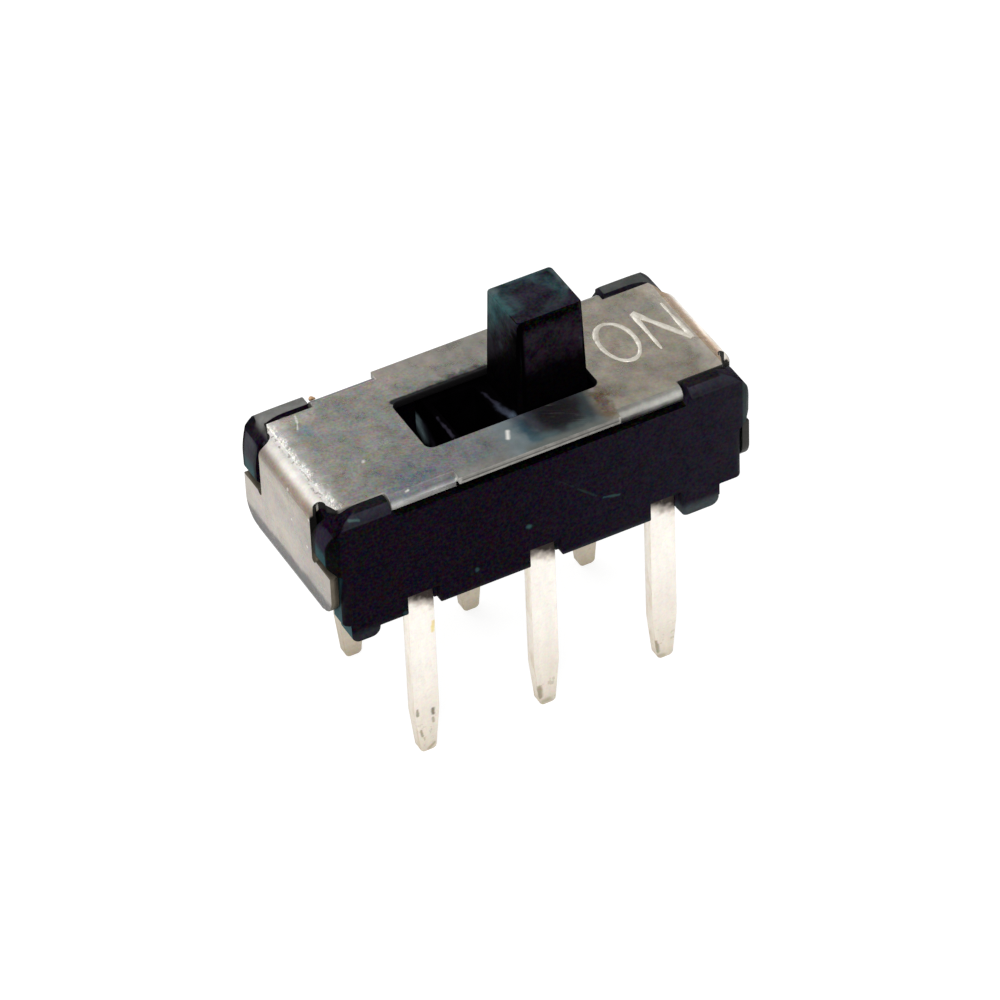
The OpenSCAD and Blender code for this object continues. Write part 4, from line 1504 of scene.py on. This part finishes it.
# The burr is a tube of BURR_RINGS rings of BURR_SIDES corners, whose places are in mm.
BURR_RINGS = 7
BURR_SIDES = 6
BURR_START = (-2.97, 1.585, 2.852)
BURR_LENGTH = 0.13
BURR_BOW = 0.02
BURR_THICKNESS = 0.055 * MM


def burr_ring(shape, share):
    """The corners of one ring of the burr, at a share of its length."""
    thick = BURR_THICKNESS * math.sin(math.pi * (0.15 + 0.8 * share))
    bow = BURR_BOW * math.sin(4.0 * share)
    x, y, z = BURR_START
    middle = Vector((x + BURR_LENGTH * share, y + bow, z)) * MM
    corners = []
    for side in range(BURR_SIDES):
        turn = 2.0 * math.pi * side / BURR_SIDES + 0.9 * share
        reach = thick * (1.0 + 0.25 * math.sin(3.0 * side + 5.0 * share))
        offset = Vector((0.0, math.cos(turn) * 0.9, math.sin(turn))) * reach
        corners.append(shape.verts.new(middle + offset))
    return corners


def add_burr():
    """A curled sliver on the rear left corner of the middle of the cover."""
    shape = bmesh.new()
    rings = [burr_ring(shape, ring / (BURR_RINGS - 1)) for ring in range(BURR_RINGS)]
    for first, second in zip(rings, rings[1:]):
        for side in range(BURR_SIDES):
            after = (side + 1) % BURR_SIDES
            shape.faces.new((first[side], first[after], second[after], second[side]))
    shape.faces.new(list(reversed(rings[0])))
    shape.faces.new(rings[-1])
    bmesh.ops.recalc_face_normals(shape, faces=shape.faces)
    mesh = clean_mesh("cover_burr", shape)
    burr = add_piece("cover_burr", mesh, BODY, [burr_metal()])
    smooth = burr.modifiers.new("smooth", "SUBSURF")
    smooth.levels = 2
    smooth.render_levels = 2


class SWITCH_OT_housing(bpy.types.Operator):
    """Make the moulded housing"""

    bl_idname = "switch.housing"
    bl_label = "Housing"

    def execute(self, context):
        settings = context.scene.slide_switch.housing
        finish = housing_plastic(settings)
        radius = settings.rounding
        finish_node("housing", "housing_moulding", BODY, finish, radius, 3)
        return {"FINISHED"}


class SWITCH_OT_slider(bpy.types.Operator):
    """Make the knob and the slider that it stands on"""

    bl_idname = "switch.slider"
    bl_label = "Slider"

    def execute(self, context):
        settings = context.scene.slide_switch.slider
        finish = slider_plastic(settings)
        radius = settings.rounding
        finish_node("slider", "slider_knob", CONTACT, finish, radius, 3)
        return {"FINISHED"}


class SWITCH_OT_clips(bpy.types.Operator):
    """Make the two contact clips that the slider carries"""

    bl_idname = "switch.clips"
    bl_label = "Contact clips"

    def execute(self, context):
        settings = context.scene.slide_switch.metal
        finish = silvered_clip(settings)
        radius = settings.rounding
        for node in CLIPS:
            finish_node(node, node + "_spring", CONTACT, finish, radius, 2)
        return {"FINISHED"}


class SWITCH_OT_terminals(bpy.types.Operator):
    """Make the six tinned terminals"""

    bl_idname = "switch.terminals"
    bl_label = "Terminals"

    def execute(self, context):
        settings = context.scene.slide_switch.metal
        finish = tin_plating(settings)
        radius = settings.rounding
        for node in TERMINALS:
            finish_node(node, node + "_pin", BODY, finish, radius, 2)
        return {"FINISHED"}


class SWITCH_OT_stage(bpy.types.Operator):
    """Make the floor, the lamps, the surroundings and the camera"""

    bl_idname = "switch.stage"
    bl_label = "Stage"

    def execute(self, context):
        settings = context.scene.slide_switch.stage
        lowest = min(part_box(node)[0].z for node in TERMINALS)
        add_floor(lowest)
        add_surroundings()
        add_lamps(settings)
        add_camera(settings)
        context.scene.view_settings.view_transform = "Standard"
        return {"FINISHED"}


PAPER_RADIUS = 3.0
PAPER_GLOW = 0.82


def white_paper():
    """Paper that shades under the switch, and glows only for what looks at it."""
    material, sheet, shader = new_finish("white_paper", 0.0, Roughness=0.9, Specular_IOR_Level=0.0)
    # The glow must not light the switch as a lamp.
    material.cycles.emission_sampling = "NONE"
    fibres = sheet.noise(sheet.place(), 900.0, 4.0, 0.6).outputs["Fac"]
    sheet.feed(shader["Base Color"], sheet.mix(fibres, grey(0.34), grey(0.36)))
    rays = sheet.add("ShaderNodeLightPath").outputs
    looked_at = sheet.plus(rays["Is Camera Ray"], rays["Is Glossy Ray"])
    looked_at = sheet.math("ADD", looked_at, rays["Is Transmission Ray"], clamp=True)
    glow = sheet.add("ShaderNodeEmission", {"Color": WHITE, "Strength": PAPER_GLOW})
    dark = sheet.add("ShaderNodeEmission", {"Color": grey(0.0), "Strength": 0.0})
    shown = sheet.add("ShaderNodeMixShader", {0: looked_at, 1: dark.outputs[0], 2: glow.outputs[0]})
    matt = built_in(sheet.tree, "BSDF_PRINCIPLED")
    paper = sheet.add("ShaderNodeAddShader", {0: matt.outputs[0], 1: shown.outputs[0]})
    # From below, the paper is left out, so that the underside can be looked at.
    behind = sheet.add("ShaderNodeNewGeometry").outputs["Backfacing"]
    from_below = sheet.times(behind, rays["Is Camera Ray"])
    clear = sheet.add("ShaderNodeBsdfTransparent")
    both = sheet.add("ShaderNodeMixShader", {0: from_below, 1: paper.outputs[0], 2: clear.outputs[0]})
    output = built_in(sheet.tree, "OUTPUT_MATERIAL")
    sheet.feed(output.inputs["Surface"], both.outputs[0])
    return material


def add_floor(height):
    """A pale sheet of paper that shows white behind the switch and keeps its shadow."""
    shape = bmesh.new()
    bmesh.ops.create_circle(shape, cap_ends=True, radius=PAPER_RADIUS, segments=64)
    bmesh.ops.translate(shape, verts=shape.verts, vec=(0.0, 0.0, height))
    floor = bpy.data.objects.new("floor", clean_mesh("floor", shape))
    bpy.context.scene.collection.objects.link(floor)
    floor.data.materials.append(white_paper())


# Colours of the room as (height, colour), where 0.5 is the horizon and 1 is straight up.
OVERHEAD = [(0.820, (0.38, 0.40, 0.41)), (0.900, grey(0.55)), (1.000, grey(0.75))]
ROOM_LEFT = [
    (0.500, grey(0.95)),
    (0.560, (0.95, 0.94, 0.93)),
    (0.600, (0.38, 0.33, 0.28)),
    (0.660, (0.36, 0.36, 0.35)),
    *OVERHEAD,
]
ROOM_RIGHT = [
    (0.500, grey(0.95)),
    (0.560, (0.95, 0.93, 0.90)),
    (0.600, (0.66, 0.62, 0.57)),
    (0.680, (0.52, 0.50, 0.47)),
    (0.750, (0.43, 0.43, 0.42)),
    *OVERHEAD,
]


def add_surroundings():
    """A plain room: pale up to just over the horizon, dim above it, and lighter overhead."""
    world = bpy.data.worlds.new("room")
    bpy.context.scene.world = world
    world.use_nodes = True
    sheet = NodeSheet(world.node_tree)
    x, _, z = sheet.axes(sheet.add("ShaderNodeTexCoord").outputs["Generated"])
    upward = sheet.times(sheet.plus(z, 1.0), 0.5)
    left = sheet.bands(upward, ROOM_LEFT)
    right = sheet.bands(upward, ROOM_RIGHT)
    background = built_in(sheet.tree, "BACKGROUND")
    sheet.feed(background.inputs["Color"], sheet.mix(sheet.ease(x, 0.1, 0.5), left, right))
    background.inputs["Strength"].default_value = 1.0


def add_lamp(name, direction, distance, width, height, power):
    """A soft rectangular lamp that faces the switch from a direction."""
    data = bpy.data.lights.new(name, "AREA")
    data.shape = "RECTANGLE"
    data.size = width
    data.size_y = height
    data.energy = power
    lamp = bpy.data.objects.new(name, data)
    bpy.context.scene.collection.objects.link(lamp)
    away = Vector(direction).normalized()
    lamp.location = away * distance
    lamp.rotation_mode = "QUATERNION"
    lamp.rotation_quaternion = away.to_track_quat("Z", "Y")


# The window's width, height and distance, and the key lamp's side and distance, in metres.
WINDOW_SIZE = (0.23, 0.125)
WINDOW_DISTANCE = 0.25
KEY_SIDE = 0.14
KEY_DISTANCE = 0.30


def add_lamps(settings):
    """The window at the back left, and the soft key over the front left."""
    width, height = WINDOW_SIZE
    window_power = math.pi * width * height * settings.window
    add_lamp("window", (-0.21, 0.79, 0.575), WINDOW_DISTANCE, width, height, window_power)
    # A lamp far off gives power / (pi * distance squared), and a full plain level is pi.
    key_power = settings.key * math.pi * math.pi * KEY_DISTANCE**2
    add_lamp("key", (-0.50, -0.62, 0.80), KEY_DISTANCE, KEY_SIDE, KEY_SIDE, key_power)


# The height that the camera turns about, and how far right and up of it the camera looks.
CAMERA_TARGET = 0.45 * MM
CAMERA_SHIFT = (0.008 * MM, -0.0933 * MM)


def add_camera(settings):
    """The camera, turned about the switch and leaning a little."""
    a, e, r = settings.azimuth, settings.elevation, settings.roll
    back = Vector((math.sin(a) * math.cos(e), -math.cos(a) * math.cos(e), math.sin(e)))
    right = Vector((math.cos(a), math.sin(a), 0.0))
    up = back.cross(right)
    turned_right = right * math.cos(r) + up * math.sin(r)
    turned_up = up * math.cos(r) - right * math.sin(r)
    offset = turned_right * CAMERA_SHIFT[0] + turned_up * CAMERA_SHIFT[1]
    middle = Vector((0.0, 0.0, CAMERA_TARGET))
    data = bpy.data.cameras.new("camera")
    data.sensor_width = 36.0
    data.lens = settings.lens
    data.clip_start = 0.002
    data.clip_end = 10.0
    camera = bpy.data.objects.new("camera", data)
    bpy.context.scene.collection.objects.link(camera)
    rotation = Matrix((turned_right, turned_up, back)).transposed().to_4x4()
    camera.matrix_world = Matrix.Translation(middle + back * settings.distance + offset) @ rotation
    bpy.context.scene.camera = camera


# ---------------------------------------------------------------- panel


class SWITCH_PT_pieces(bpy.types.Panel):
    """Lists the pieces of the switch"""

    bl_label = "Slide switch"
    bl_idname = "SWITCH_PT_pieces"
    bl_space_type = "VIEW_3D"
    bl_region_type = "UI"
    bl_category = "Slide switch"

    def draw(self, context):
        for operator in PIECE_OPERATORS:
            self.layout.operator(operator.bl_idname)


PIECE_OPERATORS = (
    SWITCH_OT_cover,
    SWITCH_OT_housing,
    SWITCH_OT_slider,
    SWITCH_OT_clips,
    SWITCH_OT_terminals,
    SWITCH_OT_stage,
)
SETTINGS_CLASSES = (
    CoverSettings,
    HousingSettings,
    SliderSettings,
    MetalSettings,
    StageSettings,
    SwitchSettings,
)


def register():
    for each in (*SETTINGS_CLASSES, *PIECE_OPERATORS, SWITCH_PT_pieces):
        bpy.utils.register_class(each)
    bpy.types.Scene.slide_switch = bpy.props.PointerProperty(type=SwitchSettings)


def unregister():
    del bpy.types.Scene.slide_switch
    for each in reversed((*SETTINGS_CLASSES, *PIECE_OPERATORS, SWITCH_PT_pieces)):
        bpy.utils.unregister_class(each)


def main():
    """Makes every piece and the stage."""
    register()
    bpy.ops.switch.cover()
    bpy.ops.switch.housing()
    bpy.ops.switch.slider()
    bpy.ops.switch.clips()
    bpy.ops.switch.terminals()
    bpy.ops.switch.stage()
    bpy.context.view_layer.update()


if __name__ == "__main__":
    main()
